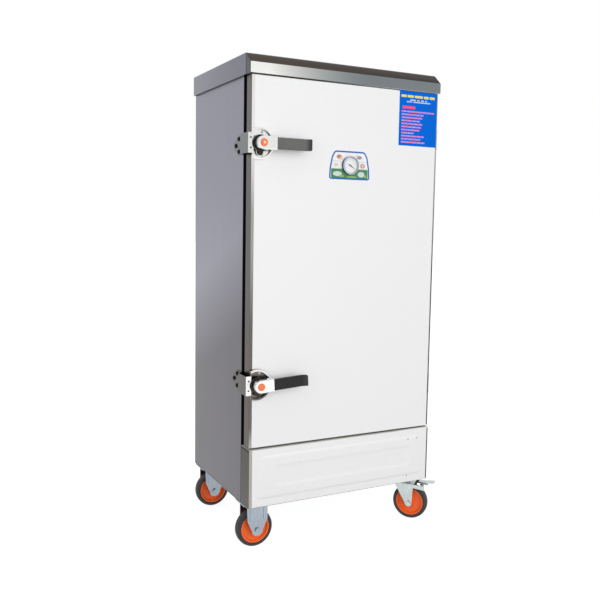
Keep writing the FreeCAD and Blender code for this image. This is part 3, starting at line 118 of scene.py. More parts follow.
def length_property(name, millimetres, description):
    """A length that the panel shows."""
    return bpy.props.FloatProperty(
        name=name, description=description, default=millimetres * MM, min=0, unit="LENGTH",
        precision=4)


# Surfaces

def outline(corners, radius, inset=0.0, steps=5):
    """Points round a convex outline with rounded corners, anticlockwise.

    A side's outward normal is its direction turned a quarter clockwise. The middle of a corner's
    arc is the corner less the sum of its two normals, over one plus their product, times the
    inset and the arc's radius. The arc turns evenly from the one normal to the other.
    """
    corners = np.asarray(corners, float)
    along = np.roll(corners, -1, 0) - corners
    along /= np.linalg.norm(along, axis=1, keepdims=True)
    normal = np.stack([along[:, 1], -along[:, 0]], 1)
    before = np.roll(normal, 1, 0)
    way = (before + normal) / (1 + (before * normal).sum(1, keepdims=True))
    bend = np.maximum(np.broadcast_to(radius, len(corners)) - inset, FINE)[:, None]
    middle = corners - way * (inset + bend)
    start = np.arctan2(before[:, 1], before[:, 0])
    turn = (np.arctan2(normal[:, 1], normal[:, 0]) - start) % (2 * np.pi)
    angle = start[:, None] + turn[:, None] * np.linspace(0, 1, steps)
    points = middle[:, None] + bend[:, None] * np.stack([np.cos(angle), np.sin(angle)], 2)
    return points.reshape(-1, 2)


def box_corners(low, high):
    """The four corners of an upright rectangle, anticlockwise."""
    return [(low[0], low[1]), (high[0], low[1]), (high[0], high[1]), (low[0], high[1])]


def stack(steps, facing):
    """Rings in the room, from a list of flat outlines and their heights."""
    flat = np.array([points for points, _ in steps])
    height = np.array([np.full(len(points), level) for points, level in steps])
    return np.stack(FACING[facing](flat[..., 0], flat[..., 1], height), -1)


def skin(rings, ends="poles"):
    """Points and faces through a stack of rings, from the outer face's middle to the inner's.

    Each face joins a ring's step to the next ring's. Poles close the first and last ring with a
    fan about its middle, and a loop joins the last ring to the first.
    """
    count, around = rings.shape[:2]
    index = np.arange(count * around).reshape(count, around)
    if ends == "loop":
        index = np.vstack([index, index[:1]])
    near, far = index[:-1], index[1:]
    quads = np.stack([near, far, np.roll(far, -1, 1), np.roll(near, -1, 1)], -1).reshape(-1, 4)
    points, faces = rings.reshape(-1, 3), quads.tolist()
    if ends == "poles":
        points = np.vstack([points, rings[0].mean(0), rings[-1].mean(0)])
        first, last = index[0], index[-1]
        top, bottom = np.full(around, count * around), np.full(around, count * around + 1)
        faces += np.stack([top, first, np.roll(first, -1)], 1).tolist()
        faces += np.stack([bottom, np.roll(last, -1), last], 1).tolist()
    return points, faces


def quarter(radius, steps=4):
    """Inset and drop along a quarter round, from face to wall: r(1 - sin t), r(1 - cos t)."""
    t = np.linspace(0, np.pi / 2, steps)
    return np.stack([radius * (1 - np.sin(t)), radius * (1 - np.cos(t))], 1)


def folded(corners, top, edge, facing, sheet, lip=0.0):
    """A sheet folded back all round its face, whose wall's edge may be turned in by a lip.

    Its rings run over the face to the bend, down the wall to its edge, across the lip or the
    sheet's thickness and back inside with the bend's inner radius. A ring just before and after
    each bend keeps the faces between them flat.
    """
    bend, gauge = sheet.bend, sheet.gauge
    outer = [(inset, top - drop) for inset, drop in quarter(bend)]
    inner = [(gauge + inset, top - gauge - drop) for inset, drop in quarter(bend - gauge)]
    flat = [(FOLD_SEEN, top)], [(FOLD_SEEN, top - gauge)]
    wall = [(0, top - bend - MM), (0, edge), (max(lip, gauge), edge)]
    wall += [(lip, edge + gauge), (gauge, edge + gauge)] if lip else []
    wall += [(gauge, top - bend - MM)]
    run = flat[0] + outer + wall + inner[::-1] + flat[1]
    return skin(stack([(outline(corners, bend, inset), level) for inset, level in run], facing))


def plate(corners, top, bottom, facing, radius=2 * MM, edge=0.3 * MM, steps=5):
    """A flat plate with rounded corners, whose front edge is rounded over."""
    run = [(edge * 2, top)] + [(inset, top - drop) for inset, drop in quarter(edge, 3)]
    run += [(0, bottom)]
    return skin(stack([(outline(corners, radius, inset, steps), level) for inset, level in run],
                      facing))


def turned(profile, centre, facing, around):
    """A profile of radius and height turned about an axis through a point of the room."""
    t = np.linspace(0, 2 * np.pi, around, endpoint=False)
    circle = np.stack([np.cos(t), np.sin(t)], 1)
    rings = stack([(circle * radius, height) for radius, height in profile], facing)
    return skin(rings + np.array(centre))


def cross_screw(centre, facing, radius, height, turn=0.0):
    """A domed screw head with a cross cut into it.

    Over a grid of radius and angle the height is a cap, h(1 - (r/R)^2), less a recess that is
    full where the point is near either arm's middle line and fades out over its edge.
    """
    (arm, arm_edge), (reach, reach_edge), (rim, crown) = (0.17, 0.06), (0.66, 0.1), (0.45, 0.55)
    share = np.array([0.02, 0.08, 0.14, 0.2, 0.3, 0.4, 0.5, 0.6, 0.7, 0.82, 0.93, 1.0])
    t = np.linspace(0, 2 * np.pi, 40, endpoint=False)
    r = share[:, None] * np.ones(t.size)
    x, y = r * np.cos(t + turn), r * np.sin(t + turn)
    near, far = np.minimum(abs(x), abs(y)), np.maximum(abs(x), abs(y))
    cut = np.clip((arm - near) / arm_edge, 0, 1) * np.clip((reach - far) / reach_edge, 0, 1)
    level = height * (rim + crown * (1 - r ** 2)) - cut * height * crown
    flat = np.stack([r * radius * np.cos(t), r * radius * np.sin(t)], -1)
    level = np.vstack([level, np.zeros(t.size)])
    flat = np.concatenate([flat, flat[-1:]])
    rings = np.stack(FACING[facing](flat[..., 0], flat[..., 1], level), -1)
    return skin(rings + np.array(centre))


# Pieces

def new_piece(name, parts, materials, body, replaces=None, slot=None):
    """A mesh that rides on a body of the frame, and may take a node's place.

    Each part is its points, its faces and, unless it has the first finish, its finish's number.
    """
    points, faces, paint = [], [], []
    for part_points, part_faces, *number in parts:
        start = sum(len(p) for p in points)
        points.append(part_points)
        faces += [[v + start for v in face] for face in part_faces]
        paint += (number or [0]) * len(part_faces)
    mesh = bpy.data.meshes.new(name)
    mesh.from_pydata(np.vstack(points).tolist(), [], faces)
    mesh.polygons.foreach_set("material_index", paint)
    mesh.polygons.foreach_set("use_smooth", [True] * len(faces))
    mesh.set_sharp_from_angle(angle=SHARP_ANGLE)
    for material in materials:
        mesh.materials.append(material)
    piece = bpy.data.objects.new(name, mesh)
    bpy.context.scene.collection.objects.link(piece)
    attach(piece, body)
    if slot or replaces:
        slot or SLOTS[replaces]
    if replaces:
        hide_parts(replaces)
    return piece


def repaint(piece, finish, chosen):
    """Gives the faces whose normals and centres pass a test another finish."""
    polygons = piece.data.polygons
    normals, centres = np.zeros(len(polygons) * 3), np.zeros(len(polygons) * 3)
    index = np.zeros(len(polygons), int)
    polygons.foreach_get("normal", normals)
    polygons.foreach_get("center", centres)
    polygons.foreach_get("material_index", index)
    index[chosen(normals.reshape(-1, 3), centres.reshape(-1, 3))] = finish
    polygons.foreach_set("material_index", index)


# Shader nodes

def add(tree, kind, inputs=None, **settings):
    """Adds a shader node, sets it up and links or fills its inputs."""
    node = tree.nodes.new(kind)
    for key, value in settings.items():
        setattr(node, key, value)
    for key, value in (inputs or {}).items():
        if isinstance(value, bpy.types.NodeSocket):
            tree.links.new(value, node.inputs[key])
        else:
            node.inputs[key].default_value = value
    return node


# Where the fine noise, the wide noise and a face's turn to the front start and end to count
GRAIN_RANGE, CLOUD_RANGE, FRONT_RANGE = (0.3, 0.7), (0.35, 0.7), (-0.2, -0.8)


def empty_tree(holder):
    """A material's or a world's node tree, with nothing in it."""
    holder.use_nodes = True
    holder.node_tree.nodes.clear()
    return holder.node_tree


def finish_of(name, colour, metallic=0.0, rough=0.4, grain=2, uneven=(0.02, 0.03), bump=0.0,
              cloud=200, dull=0.95, coat=0.0, fades=(), front=None, tip=None, alpha=1.0,
              specular=0.5, edge="#FFFFFF"):
    """A surface from its colour, its metalness and the size of its grain in millimetres.

    grain is the length of one grain, or its lengths along X, Y and Z, of which a long one gives
    brush marks that way. uneven is how much the colour and the roughness move with it, bump its
    height, cloud the size of the soft patches on it and dull their shade. Each of fades is a
    colour with the way along which it comes in and the two distances between which it does, on
    most finishes a painted reflection or shade, front the colour of the faces that look to the
    front, a painted reflection, tip a colour past a distance from a point, and edge the tint at a
    grazing angle.
    """
    if name in bpy.data.materials:
        return bpy.data.materials[name]
    material = bpy.data.materials.new(name)
    tree = empty_tree(material)
    place = add(tree, "ShaderNodeTexCoord")
    spot = place.outputs["Object"]
    scaled = add(tree, "ShaderNodeMapping", {
        "Vector": spot, "Scale": 1 / (np.broadcast_to(grain, 3) * MM)})
    fine = add(tree, "ShaderNodeTexNoise", {
        "Vector": scaled.outputs["Vector"], "Scale": 1.0, "Detail": 4.0, "Roughness": 0.6})
    wide = add(tree, "ShaderNodeTexNoise", {
        "Vector": spot, "Scale": 1 / (cloud * MM), "Detail": 2.0})

    def mixed(factor, first, second):
        node = add(tree, "ShaderNodeMix", {0: factor, 6: first, 7: second}, data_type="RGBA")
        return node.outputs[2]

    def ranged(value, low, high, to_low=0.0, to_high=1.0):
        node = add(tree, "ShaderNodeMapRange", {
            "Value": value, "From Min": low, "From Max": high, "To Min": to_low,
            "To Max": to_high})
        return node.outputs["Result"]

    tone = linear(colour) if isinstance(colour, str) else (*colour, 1)
    for code, axis, start, end in fades:
        along = add(tree, "ShaderNodeVectorMath", {0: spot, 1: axis}, operation="DOT_PRODUCT")
        tone = mixed(ranged(along.outputs["Value"], start, end), tone, linear(code))
    if front:
        way = add(tree, "ShaderNodeSeparateXYZ", {"Vector": place.outputs["Normal"]})
        tone = mixed(ranged(way.outputs["Y"], *FRONT_RANGE), tone, linear(front))
    if tip:
        away = add(tree, "ShaderNodeVectorMath", {0: spot, 1: tip[1]}, operation="DISTANCE")
        tone = mixed(ranged(away.outputs["Value"], tip[2], tip[2] + MM), tone, linear(tip[0]))
    grained = mixed(ranged(fine.outputs["Fac"], *GRAIN_RANGE, 0.0, 2 * uneven[0]), tone,
                    (0, 0, 0, 1))
    worn = add(tree, "ShaderNodeMix", {
        0: ranged(wide.outputs["Fac"], *CLOUD_RANGE), 6: grained,
        7: (dull, dull, dull, 1)}, data_type="RGBA", blend_type="MULTIPLY")
    shader = add(tree, "ShaderNodeBsdfPrincipled", {
        "Base Color": worn.outputs[2], "Metallic": metallic, "Coat Weight": coat,
        "Alpha": alpha, "Specular IOR Level": specular, "Specular Tint": linear(edge),
        "Roughness": ranged(fine.outputs["Fac"], *GRAIN_RANGE, max(0.02, rough - uneven[1]),
                            min(1.0, rough + uneven[1]))})
    if bump:
        relief = add(tree, "ShaderNodeBump", {
            "Height": fine.outputs["Fac"], "Strength": 1.0, "Distance": bump * MM})
        tree.links.new(relief.outputs["Normal"], shader.inputs["Normal"])
    add(tree, "ShaderNodeOutputMaterial", {"Surface": shader.outputs["BSDF"]})
    return material


# Finishes by the record's slots, and then those of single faces: the real material, its colour
# and its other settings, with grain, cloud and bump in millimetres. Brushed steel's scratches are
# really 0.1 mm wide, too fine to show, so they are drawn 1 to 2 mm wide.

# The upper button, and the middle of its front, where the painted highlight sits
BUTTON_LOW, BUTTON_HIGH = BUTTONS["upper"]
BUTTON_HIGHLIGHT_SPOT = ((BUTTON_LOW.x + BUTTON_HIGH.x) / 2, BUTTON_LOW.y,
               (BUTTON_LOW.z + BUTTON_HIGH.z) / 2)
# The blue-grey of the visor front's painted reflection, coming in from left to right
VISOR_PAINTED_REFLECTION = ("#7E8588", X, -0.294, 0.084)

FINISHES = {
    # A soft grey sheen, with a painted reflection: paler and bluer higher up and towards the back,
    # darker near the floor and the front
    "stainless": ("brushed_stainless_sheet", "#69676C", dict(metallic=1, rough=0.36,
        grain=(1.5, 1.5, 400), uneven=(0.015, 0.03), bump=0.002, cloud=400, dull=0.985,
        fades=(("#92929E", (0, 0.46, 1), 0.64, 0.96), ("#8C8C99", Z, 1.0, 1.5)))),
    # The same stainless, painted a shade darker and bluer as a reflection
    "stainless_lid": ("brushed_stainless_lid", "#7E7E8A", dict(metallic=1, rough=0.34,
        grain=(300, 300, 1.5), bump=0.002, cloud=300, dull=0.97)),
    # Folds round the white sheets, with a painted reflection: dark in the middle, paler below,
    # higher up and on the right
    "stainless_edge": ("folded_stainless_edge", "#6B6561", dict(metallic=1, rough=0.3,
        grain=(200, 1.2, 200), uneven=(0.02, 0.04), cloud=150, dull=0.96,
        fades=(("#A9A69B", Z, 0.42, 0.36), ("#A3A3A0", Z, 0.75, 1.0), ("#EDEBE6", Z, 1.1, 1.3),
        ("#EAE8E4", X, 0.2, 0.3)))),
    # Smooth, pale and a little cloudy
    "stainless_inner": ("stainless_2b", "#B6B6B6", dict(metallic=1, rough=0.3, grain=3,
        uneven=(0.03, 0.05), cloud=90, dull=0.93)),
    # Bright, with faint draw marks
    "tray_steel": ("drawn_stainless", "#C4C4C4", dict(metallic=1, rough=0.22, grain=(2, 60, 2),
        uneven=(0.04, 0.05), cloud=60, dull=0.93)),
    # Matte grey, with spangles about a centimetre across
    "galvanised": ("galvanised_sheet", "#9EA2A4", dict(metallic=0.9, rough=0.5, grain=9,
        uneven=(0.1, 0.1), bump=0.01, cloud=40, dull=0.9)),
    # Brown-grey, darkened by heat
    "heater_sheath": ("oxidised_heater_sheath", "#544F49", dict(metallic=1, rough=0.45,
        grain=(2, 30, 2), uneven=(0.12, 0.08), bump=0.02, cloud=30, dull=0.85)),
    # Near white, glossy and very slightly wavy
    "white_sheet": ("white_coated_sheet", "#EDEDEE", dict(rough=0.3, grain=6, uneven=(0.003, 0.03),
        bump=0.004, cloud=250, dull=0.995)),
    # Pale yellow, matte and open-celled
    "insulating_foam": ("polyurethane_foam", "#E4D29C", dict(rough=0.95, uneven=(0.08, 0.03),
        bump=0.4, cloud=20, dull=0.9)),
    # Black and matt, with a dull bloom
    "seal_rubber": ("silicone_seal", "#111113", dict(rough=0.9, grain=3, uneven=(0.1, 0.05),
        bump=0.02, cloud=30, dull=0.9, specular=0.0)),
    # Chrome with painted reflections: white on the rims, the heads and the upper latch, dark
    # elsewhere and low on the lower latch, and painted shade on the cams
    "latch_chrome": ("chrome_plate", "#6E6A62", dict(metallic=1, rough=0.25, uneven=(0.02, 0.04),
        cloud=12, fades=(("#F0F0EE", Y, -0.2665, -0.2685), ("#6F6663", Z, 0.556, 0.548),
        ("#F0F0EE", Z, 0.95, 1.05), ("#3E3A35", Y, -0.2713, -0.2719),
        ("#EDEDEC", Y, -0.2815, -0.2823)))),
    # Duller than the chrome, with a painted reflection: pale where it faces the front, darker on
    # the lower latch
    "latch_steel": ("nickel_plated_steel", "#5B5755", dict(metallic=1, rough=0.28,
        grain=(30, 1, 1), uneven=(0.04, 0.05), cloud=14, dull=0.92,
        fades=(("#767C7D", Z, 0.8, 1.1),), front="#EDEDEC")),
    # Dark, with a fine grain; painted light makes the upper grip paler, and the grips darken
    # towards their right ends
    "grip_plastic": ("moulded_nylon_grip", "#232324", dict(rough=0.5, grain=0.9,
        uneven=(0.08, 0.06), bump=0.04, cloud=25, dull=0.94, specular=0.25,
        fades=(("#696A68", Z, 0.8, 1.1), ("#373838", X, -0.187, -0.173)))),
    # Glossy, with a painted highlight: a pale spot on the upper one
    "button_orange": ("glossy_orange_abs", "#FFD9B8", dict(rough=0.18, uneven=(0.02, 0.04),
        cloud=8, dull=0.97, coat=0.3, tip=("#FA7838", BUTTON_HIGHLIGHT_SPOT, 3.5 * MM))),
    # Dark, with worn and shinier crowns
    "black_screw": ("black_oxide_steel", "#1B1B1C", dict(metallic=0.8, grain=1, uneven=(0.2, 0.12),
        bump=0.01, cloud=4, dull=0.8)),
    # Black, with a fine satin grain
    "black_plastic": ("moulded_polyamide", "#1A1A1B", dict(rough=0.5, grain=0.8,
        uneven=(0.15, 0.08), bump=0.03, cloud=8, dull=0.9)),
    # Polished, with a painted reflection: dark on the left, light on the right and pale where it
    # faces the front
    "dial_metal": ("polished_stainless_bezel", "#465078", dict(metallic=1, rough=0.14,
        uneven=(0.05, 0.06), cloud=15, dull=0.85, fades=(("#A4B0C0", X, -0.015, 0.02),),
        front="#C6C8CC")),
    # A thin film of reflection over the dial
    "dial_glass": ("flat_window_glass", "#F4F8FA", dict(rough=0.03, grain=5, uneven=(0.0, 0.01),
        cloud=50, dull=1.0, alpha=0.12)),
    # Grey paint with a red tip
    "dial_hand_black": ("painted_hand", "#55565C", dict(rough=0.45, grain=1, uneven=(0.1, 0.05),
        cloud=5, dull=0.9, tip=("#C66A66", (0, DOOR_FRONT, DIAL_Z), 8 * MM))),
    # Pale blue-grey, with soft streaks
    "zinc_plate": ("bright_zinc_plate", "#A6B0BA", dict(metallic=1, rough=0.26, grain=(3, 3, 40),
        uneven=(0.05, 0.06), bump=0.004, cloud=40, dull=0.92,
        fades=(("#C8D0D0", X, -0.1, 0.25),))),
    # Orange and satin
    "hub_orange": ("moulded_orange_polypropylene", "#FA6C28", dict(rough=0.42, grain=1.5,
        uneven=(0.03, 0.06), bump=0.02, cloud=16, dull=0.97)),
    # Grey-black, dusty and dull
    "tyre": ("thermoplastic_rubber_tread", "#343437", dict(rough=0.62, grain=1.2,
        uneven=(0.12, 0.1), bump=0.06, cloud=18, dull=0.85)),
    # Yellow, dulled by water
    "brass": ("machined_brass", "#B98F45", dict(metallic=1, rough=0.3, grain=(2, 20, 2),
        uneven=(0.08, 0.08), cloud=12, dull=0.8)),
    # Pale, with a fine sandy grain
    "valve_steel": ("cast_stainless", "#A3A3A2", dict(metallic=1, grain=0.9, uneven=(0.1, 0.1),
        bump=0.04, cloud=10, dull=0.88)),
    # White plastic with a soft shine, whatever its slot is called
    "float_copper": ("blown_polyethylene", "#E2E2DD", dict(grain=4, uneven=(0.03, 0.05), bump=0.02,
        cloud=15, dull=0.93)),
    # Blue, smooth and rubbery
    "drain_handle_paint": ("vinyl_dipped_lever", "#1E4C9E", dict(rough=0.35, grain=3,
        uneven=(0.06, 0.06), bump=0.03, cloud=9, dull=0.9)),
    # The side panels' front folds, painted dark as a reflection of the black seal
    "side_fold": ("stainless_fold", "#1C1C1F", dict(metallic=1)),
    # The visor's welded ends, painted darker as a reflection of a dark side of the room
    "visor_end": ("brushed_stainless_cap", "#555A5B", dict(metallic=1, rough=0.34, dull=0.97)),
    # The visor's underside, dull, with painted shade: dark grey on the left, paler to the right
    "visor_under": ("stainless_underside", "#5E5E5E", dict(rough=0.7, grain=3, cloud=100,
        dull=0.97, fades=(("#FFFFFF", X, -0.1, 0.2),))),
    # The visor's front, with a painted reflection: white on the left, dulling to blue-grey further
    # on
    "visor_front": ("brushed_stainless_brow", "#F4F4F0", dict(metallic=1, rough=0.3,
        grain=(400, 1.5, 1.5), bump=0.002, dull=0.98, fades=(VISOR_PAINTED_REFLECTION, VISOR_PAINTED_REFLECTION))),
    # The visor's slope, with a painted reflection of a dark ceiling, darker to the right
    "visor_slope": ("brushed_stainless_slope", "#544B45", dict(metallic=1, rough=0.3,
        grain=(400, 1.5, 1.5), uneven=(0.03, 0.03), bump=0.002, fades=(("#48403A", X, -0.3, 0.1),
        ("#3A332F", X, 0.1, 0.3)), edge="#D0D0D0")),
    # The right-hand folds, painted dark as a reflection of the dark side of the room, paler higher
    # up
    "right_fold": ("stainless_bend", "#55514E", dict(metallic=1, rough=0.35, grain=(1.2, 1.2, 300),
        uneven=(0.03, 0.04), fades=(("#B4B2AE", Z, 0.9, 1.4),), edge="#707070")),
    # The lower panel's top flange, made pale and dull as painted light in the gap under the door
    "top_flange": ("stainless_flange", "#C9C7C2", dict(metallic=0.4, rough=0.6, grain=3,
        uneven=(0.03, 0.04), cloud=100)),
    # Stainless returns with painted shade in the door gap: dark, paler higher up, and a painted
    # black shadow right under the door
    "return": ("stainless_return", "#474342", dict(metallic=1, rough=0.35, grain=(1.2, 1.2, 300),
        uneven=(0.03, 0.04), fades=(("#0C0B0B", Z, 0.341, 0.343), ("#4F4B4A", Z, 0.352, 0.354),
        ("#64615F", Z, 0.5, 1.3)))),
    # Small and dull grey
    "rivet": ("dulled_rivet_steel", "#77777A", dict(metallic=0.6, rough=0.45, grain=1,
        uneven=(0.05, 0.05), cloud=6, dull=0.9)),
}


def finishes(*keys):
    """Finishes of the table."""
    return [finish_of(*FINISHES[key][:2], **FINISHES[key][2]) for key in keys]


def ink(name, code):
    """Printed vinyl: a flat ink with the paper's faint mottle under a satin film."""
    return finish_of("printed_" + name, code, rough=0.5, grain=1.5, cloud=30, dull=0.98,
                     specular=0.06)


# Sizes and colours for the panel

class SteamerSheet(bpy.types.PropertyGroup):
    """Folded sheet metal."""

    bend: length_property("Bend radius", 2.2, "Outer radius of the folds")
    gauge: length_property("Sheet thickness", 1.2, "Thickness of the stainless sheet")
    slope: length_property("Pressed slope", 6.0, "Width of the slope round the pressed field")


class SteamerPrint(bpy.types.PropertyGroup):
    """Printed label and sticker."""

    card: colour_property("Label", "#0068D8", "Ground colour of the label")
    heading: colour_property("Heading", "#EDE36A", "Colour of the label's heading bars")
    border: colour_property("Sticker border", "#3C68BC", "Border of the sticker round the dial")
    band: colour_property("Sticker band", "#4F8E62", "Band at the foot of the sticker")
    card_width: length_property("Label width", 156, "Width of the label")
    thickness: length_property("Film thickness", 0.3, "Thickness of the printed film")


class SteamerScrews(bpy.types.PropertyGroup):
    """Screws on the latches, keepers and rear covers."""

    strap_radius: length_property("Strap screw", 7.2, "Head radius of the straps' screws")
    hook_radius: length_property("Hook screw", 3, "Head radius of the small screws in the hooks")
    latch_radius: length_property("Latch screw", 4.5, "Head radius of the escutcheons' screws")
    cover_radius: length_property("Cover screw", 4, "Head radius of the rear covers' screws")


class SteamerStage(bpy.types.PropertyGroup):
    """Floor, lamps and camera."""

    lens: bpy.props.FloatProperty(
        name="Lens", description="Focal length of the camera", default=45.05, min=10, max=200,
        unit="CAMERA")
    key: bpy.props.FloatProperty(
        name="Key light", description="Power of the large soft lamp", default=66, min=0,
        unit="POWER")
    ambient: bpy.props.FloatProperty(
        name="Surround", description="Brightness of the soft surround", default=0.62, min=0,
        max=2, subtype="FACTOR")


# Operators, one for each piece or group of like pieces. The lengths that they hold are in
# millimetres, but the stage's are in metres.

class STEAMER_OT_finishes(bpy.types.Operator):
    """Give every carried-over part the finish of its slot"""

    bl_idname = "steamer.finishes"
    bl_label = "Finishes"

    def execute(self, context):
        for name, slot in SLOTS.items():
            mesh = NODES[name].data
            mesh.materials.clear()
            mesh.materials.append(*finishes(slot))
        return {"FINISHED"}


class STEAMER_OT_lid(bpy.types.Operator):
    """Make the folded lid and the sloped visor in front of it"""

    bl_idname = "steamer.lid"
    bl_label = "Lid and visor"

    drop, brow_rise, lip = 2.7, 31, 7

    def execute(self, context):
        sheet = context.scene.steamer_sheet
        low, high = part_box("top_lid")
        lid = folded(box_corners(low.xy, high.xy), high.z, low.z, "up", sheet, self.lip * MM)
        lid = new_piece("lid_folded", [lid], finishes("stainless_lid", "return"), "cabinet",
                        "top_lid")
        # The lid's downward faces take the returns' painted shade
        repaint(lid, 1, lambda way, spot: way[:, 2] < -0.5)
        low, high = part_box("visor")
        foot, brow = low.z - self.drop * MM, low.z + self.brow_rise * MM
        corners = [(high.y, foot), (high.y, high.z), (low.y, brow), (low.y, foot)]
        run = [(inset, high.x - drop) for inset, drop in quarter(sheet.gauge)]
        run += [(inset, low.x + drop) for inset, drop in quarter(sheet.gauge)[::-1]]
        rings = stack([(outline(corners, 2 * sheet.gauge, inset), x) for inset, x in run],
                      "right")
        visor = new_piece("visor_folded", [skin(rings)],
                          finishes("visor_end", "visor_slope", "visor_front", "visor_under"),
                          "cabinet", "visor")
        # The slope, the front and the underside take their painted reflections and shade
        repaint(visor, 1, lambda way, spot: (way[:, 2] > 0.3) & (way[:, 1] < -0.2))
        repaint(visor, 2, lambda way, spot: way[:, 1] < -0.85)
        repaint(visor, 3, lambda way, spot: way[:, 2] < -0.6)
        return {"FINISHED"}


class STEAMER_OT_sides(bpy.types.Operator):
    """Make the two folded side panels"""

    bl_idname = "steamer.sides"
    bl_label = "Side panels"

    fold = 3

    def execute(self, context):
        for side, way in (("left", -1), ("right", 1)):
            low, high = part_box("side_panel_" + side)
            across = sorted((low.y * way, high.y * way))
            face, edge = (high.x, low.x) if way > 0 else (-low.x, -high.x)
            panel = folded(box_corners((across[0], low.z), (across[1], high.z)), face, edge,
                           side, context.scene.steamer_sheet)
            panel = new_piece(f"side_folded_{side}", [panel],
                              finishes("stainless", "side_fold"), "cabinet",
                              "side_panel_" + side)
            # The front fold takes its painted dark reflection of the seal
            repaint(panel, 1, lambda way, spot: spot[:, 1] < low.y + self.fold * MM)
        return {"FINISHED"}


def narrowed(low, high):
    """Corners of a white sheet, which leaves a strip of its pan bare on the left and right."""
    return box_corners((low.x + STRIP_LEFT, low.z), (high.x - STRIP_RIGHT, high.z))


def paint_pan(pan):
    """Gives a pan's returns their painted shade, and the part of its right-hand fold seen from the
    front its painted dark reflection.
    """
    repaint(pan, 1, lambda way, spot: way[:, 1] > -0.5)
    repaint(pan, 2, lambda way, spot: (spot[:, 0] > HALF_WIDTH - FOLD_SEEN) & (way[:, 1] < -0.1))


class STEAMER_OT_door(bpy.types.Operator):
    """Make the door's stainless pan and its white face"""

    bl_idname = "steamer.door"
    bl_label = "Door sheets"

    recess = 3
    seal_outer, seal_inner, seal_corner, seal_round = 1, 32, 4, 2

    def execute(self, context):
        low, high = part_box("door_pan")
        pan = folded(box_corners(low.xz, high.xz), -low.y, -high.y + self.recess * MM, "front",
                     context.scene.steamer_sheet)
        paint_pan(new_piece("door_pan_folded", [pan],
                            finishes("stainless_edge", "return", "right_fold"), "door",
                            "door_pan"))
        low, high = DOOR_FACE
        face = plate(narrowed(low, high), -low.y, -high.y, "front", SHEET_CORNER, SHEET_EDGE)
        new_piece("door_face_sheet", [face], finishes("white_sheet"), "door", "door_face")
        self.seal()
        return {"FINISHED"}

    def seal(self):
        """A rubber ring behind the door, out to just inside the pan's outline."""
        (low, high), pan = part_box("door_gasket"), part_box("door_pan")
        shape = box_corners(pan[0].xz, pan[1].xz)
        inner, outer, soft = self.seal_inner * MM, self.seal_outer * MM, self.seal_round * MM
        face = -low.y + self.recess * MM
        run = [(inner, -high.y), (inner, face), (outer, face), (outer, -high.y + soft)]
        run += [(outer + drop, -high.y + inset) for inset, drop in quarter(soft)[::-1]][1:]
        ring = skin(stack([(outline(shape, self.seal_corner * MM, inset), level)
                           for inset, level in run], "front"), "loop")
        new_piece("door_seal", [ring], finishes("seal_rubber"), "door", "door_gasket")


class STEAMER_OT_lower_panel(bpy.types.Operator):
    """Make the lower panel with its pressed field and its three rivets"""

    bl_idname = "steamer.lower_panel"
    bl_label = "Lower panel"

    field = ((-326, 29.5), (326, 29.5), (306, 171), (-307, 171))
    dish = ((-257, 69), (271, 69), (277, 134), (-259, 134))
    field_corner, dish_corner, dish_depth = 14, 12, 1
    lift, press, hem, rim = 1.5, 1.8, 2, 1.5
    # Places of the rivets, and whether they are on the raised field
    rivets = ((261.5, 160, True), (299.5, 161, True), (261, 27, False))
    rivet_head = ((0.3, 1.0), (1.2, 0.9), (1.9, 0.4), (2.1, 0))

    def execute(self, context):
        sheet = context.scene.steamer_sheet
        low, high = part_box("lower_panel")
        head = (high.x, high.z + self.lift * MM)
        pan = folded(box_corners(low.xz, head), -low.y, -high.y, "front", sheet)
        pan = new_piece("lower_pan_folded", [pan],
                        finishes("stainless_edge", "return", "right_fold", "top_flange"),
                        "cabinet", "lower_panel")
        paint_pan(pan)
        # The top flange takes its painted light
        repaint(pan, 3, lambda way, spot: way[:, 2] > 0.5)
        low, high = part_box("lower_panel_face")
        low.z += self.hem * MM
        top, flat = -low.y, -low.y - self.press * MM
        rim = narrowed(low, high)
        steps = self.pressed(top, flat, sheet.slope)
        steps += [(outline(rim, SHEET_CORNER, self.rim * MM), flat)]
        steps += [(outline(rim, SHEET_CORNER, inset), flat - drop)
                  for inset, drop in quarter(SHEET_EDGE, 3)]
        steps += [(outline(rim, SHEET_CORNER), -high.y)]
        new_piece("lower_face_pressed", [skin(stack(steps, "front"))],
                  finishes("white_sheet"), "cabinet", "lower_panel_face")
        profile = [(radius * MM, height * MM) for radius, height in self.rivet_head]
        heads = [turned(profile, (x * MM, -(top if raised else flat), UNDERSIDE + z * MM),
                        "front", 20) for x, z, raised in self.rivets]
        new_piece("panel_rivets", heads, finishes("rivet"), "cabinet", slot="black_screw")
        return {"FINISHED"}

    def pressed(self, top, flat, wide):
        """The dish, the raised field round it and the slope down to the flat border."""
        raised = [(x * MM, UNDERSIDE + z * MM) for x, z in self.field]
        dished = [(x * MM, UNDERSIDE + z * MM) for x, z in self.dish]
        field, dish, depth = self.field_corner * MM, self.dish_corner * MM, self.dish_depth * MM
        soft = 0.5 - 0.5 * np.cos(np.linspace(0, np.pi, 7))
        steps = [(outline(dished, dish, 2 * wide), top - depth)]
        steps += [(outline(dished, dish, wide / 2 * (1 - 2 * s)), top - depth * (1 - s))
                  for s in soft]
        steps += [(outline(dished, dish, -wide), top), (outline(raised, field, 1.5 * wide), top)]
        steps += [(outline(raised, field, wide * (1 - s)), top - (top - flat) * s)
                  for s in soft]
        return steps + [(outline(raised, field, -wide / 2), flat)]


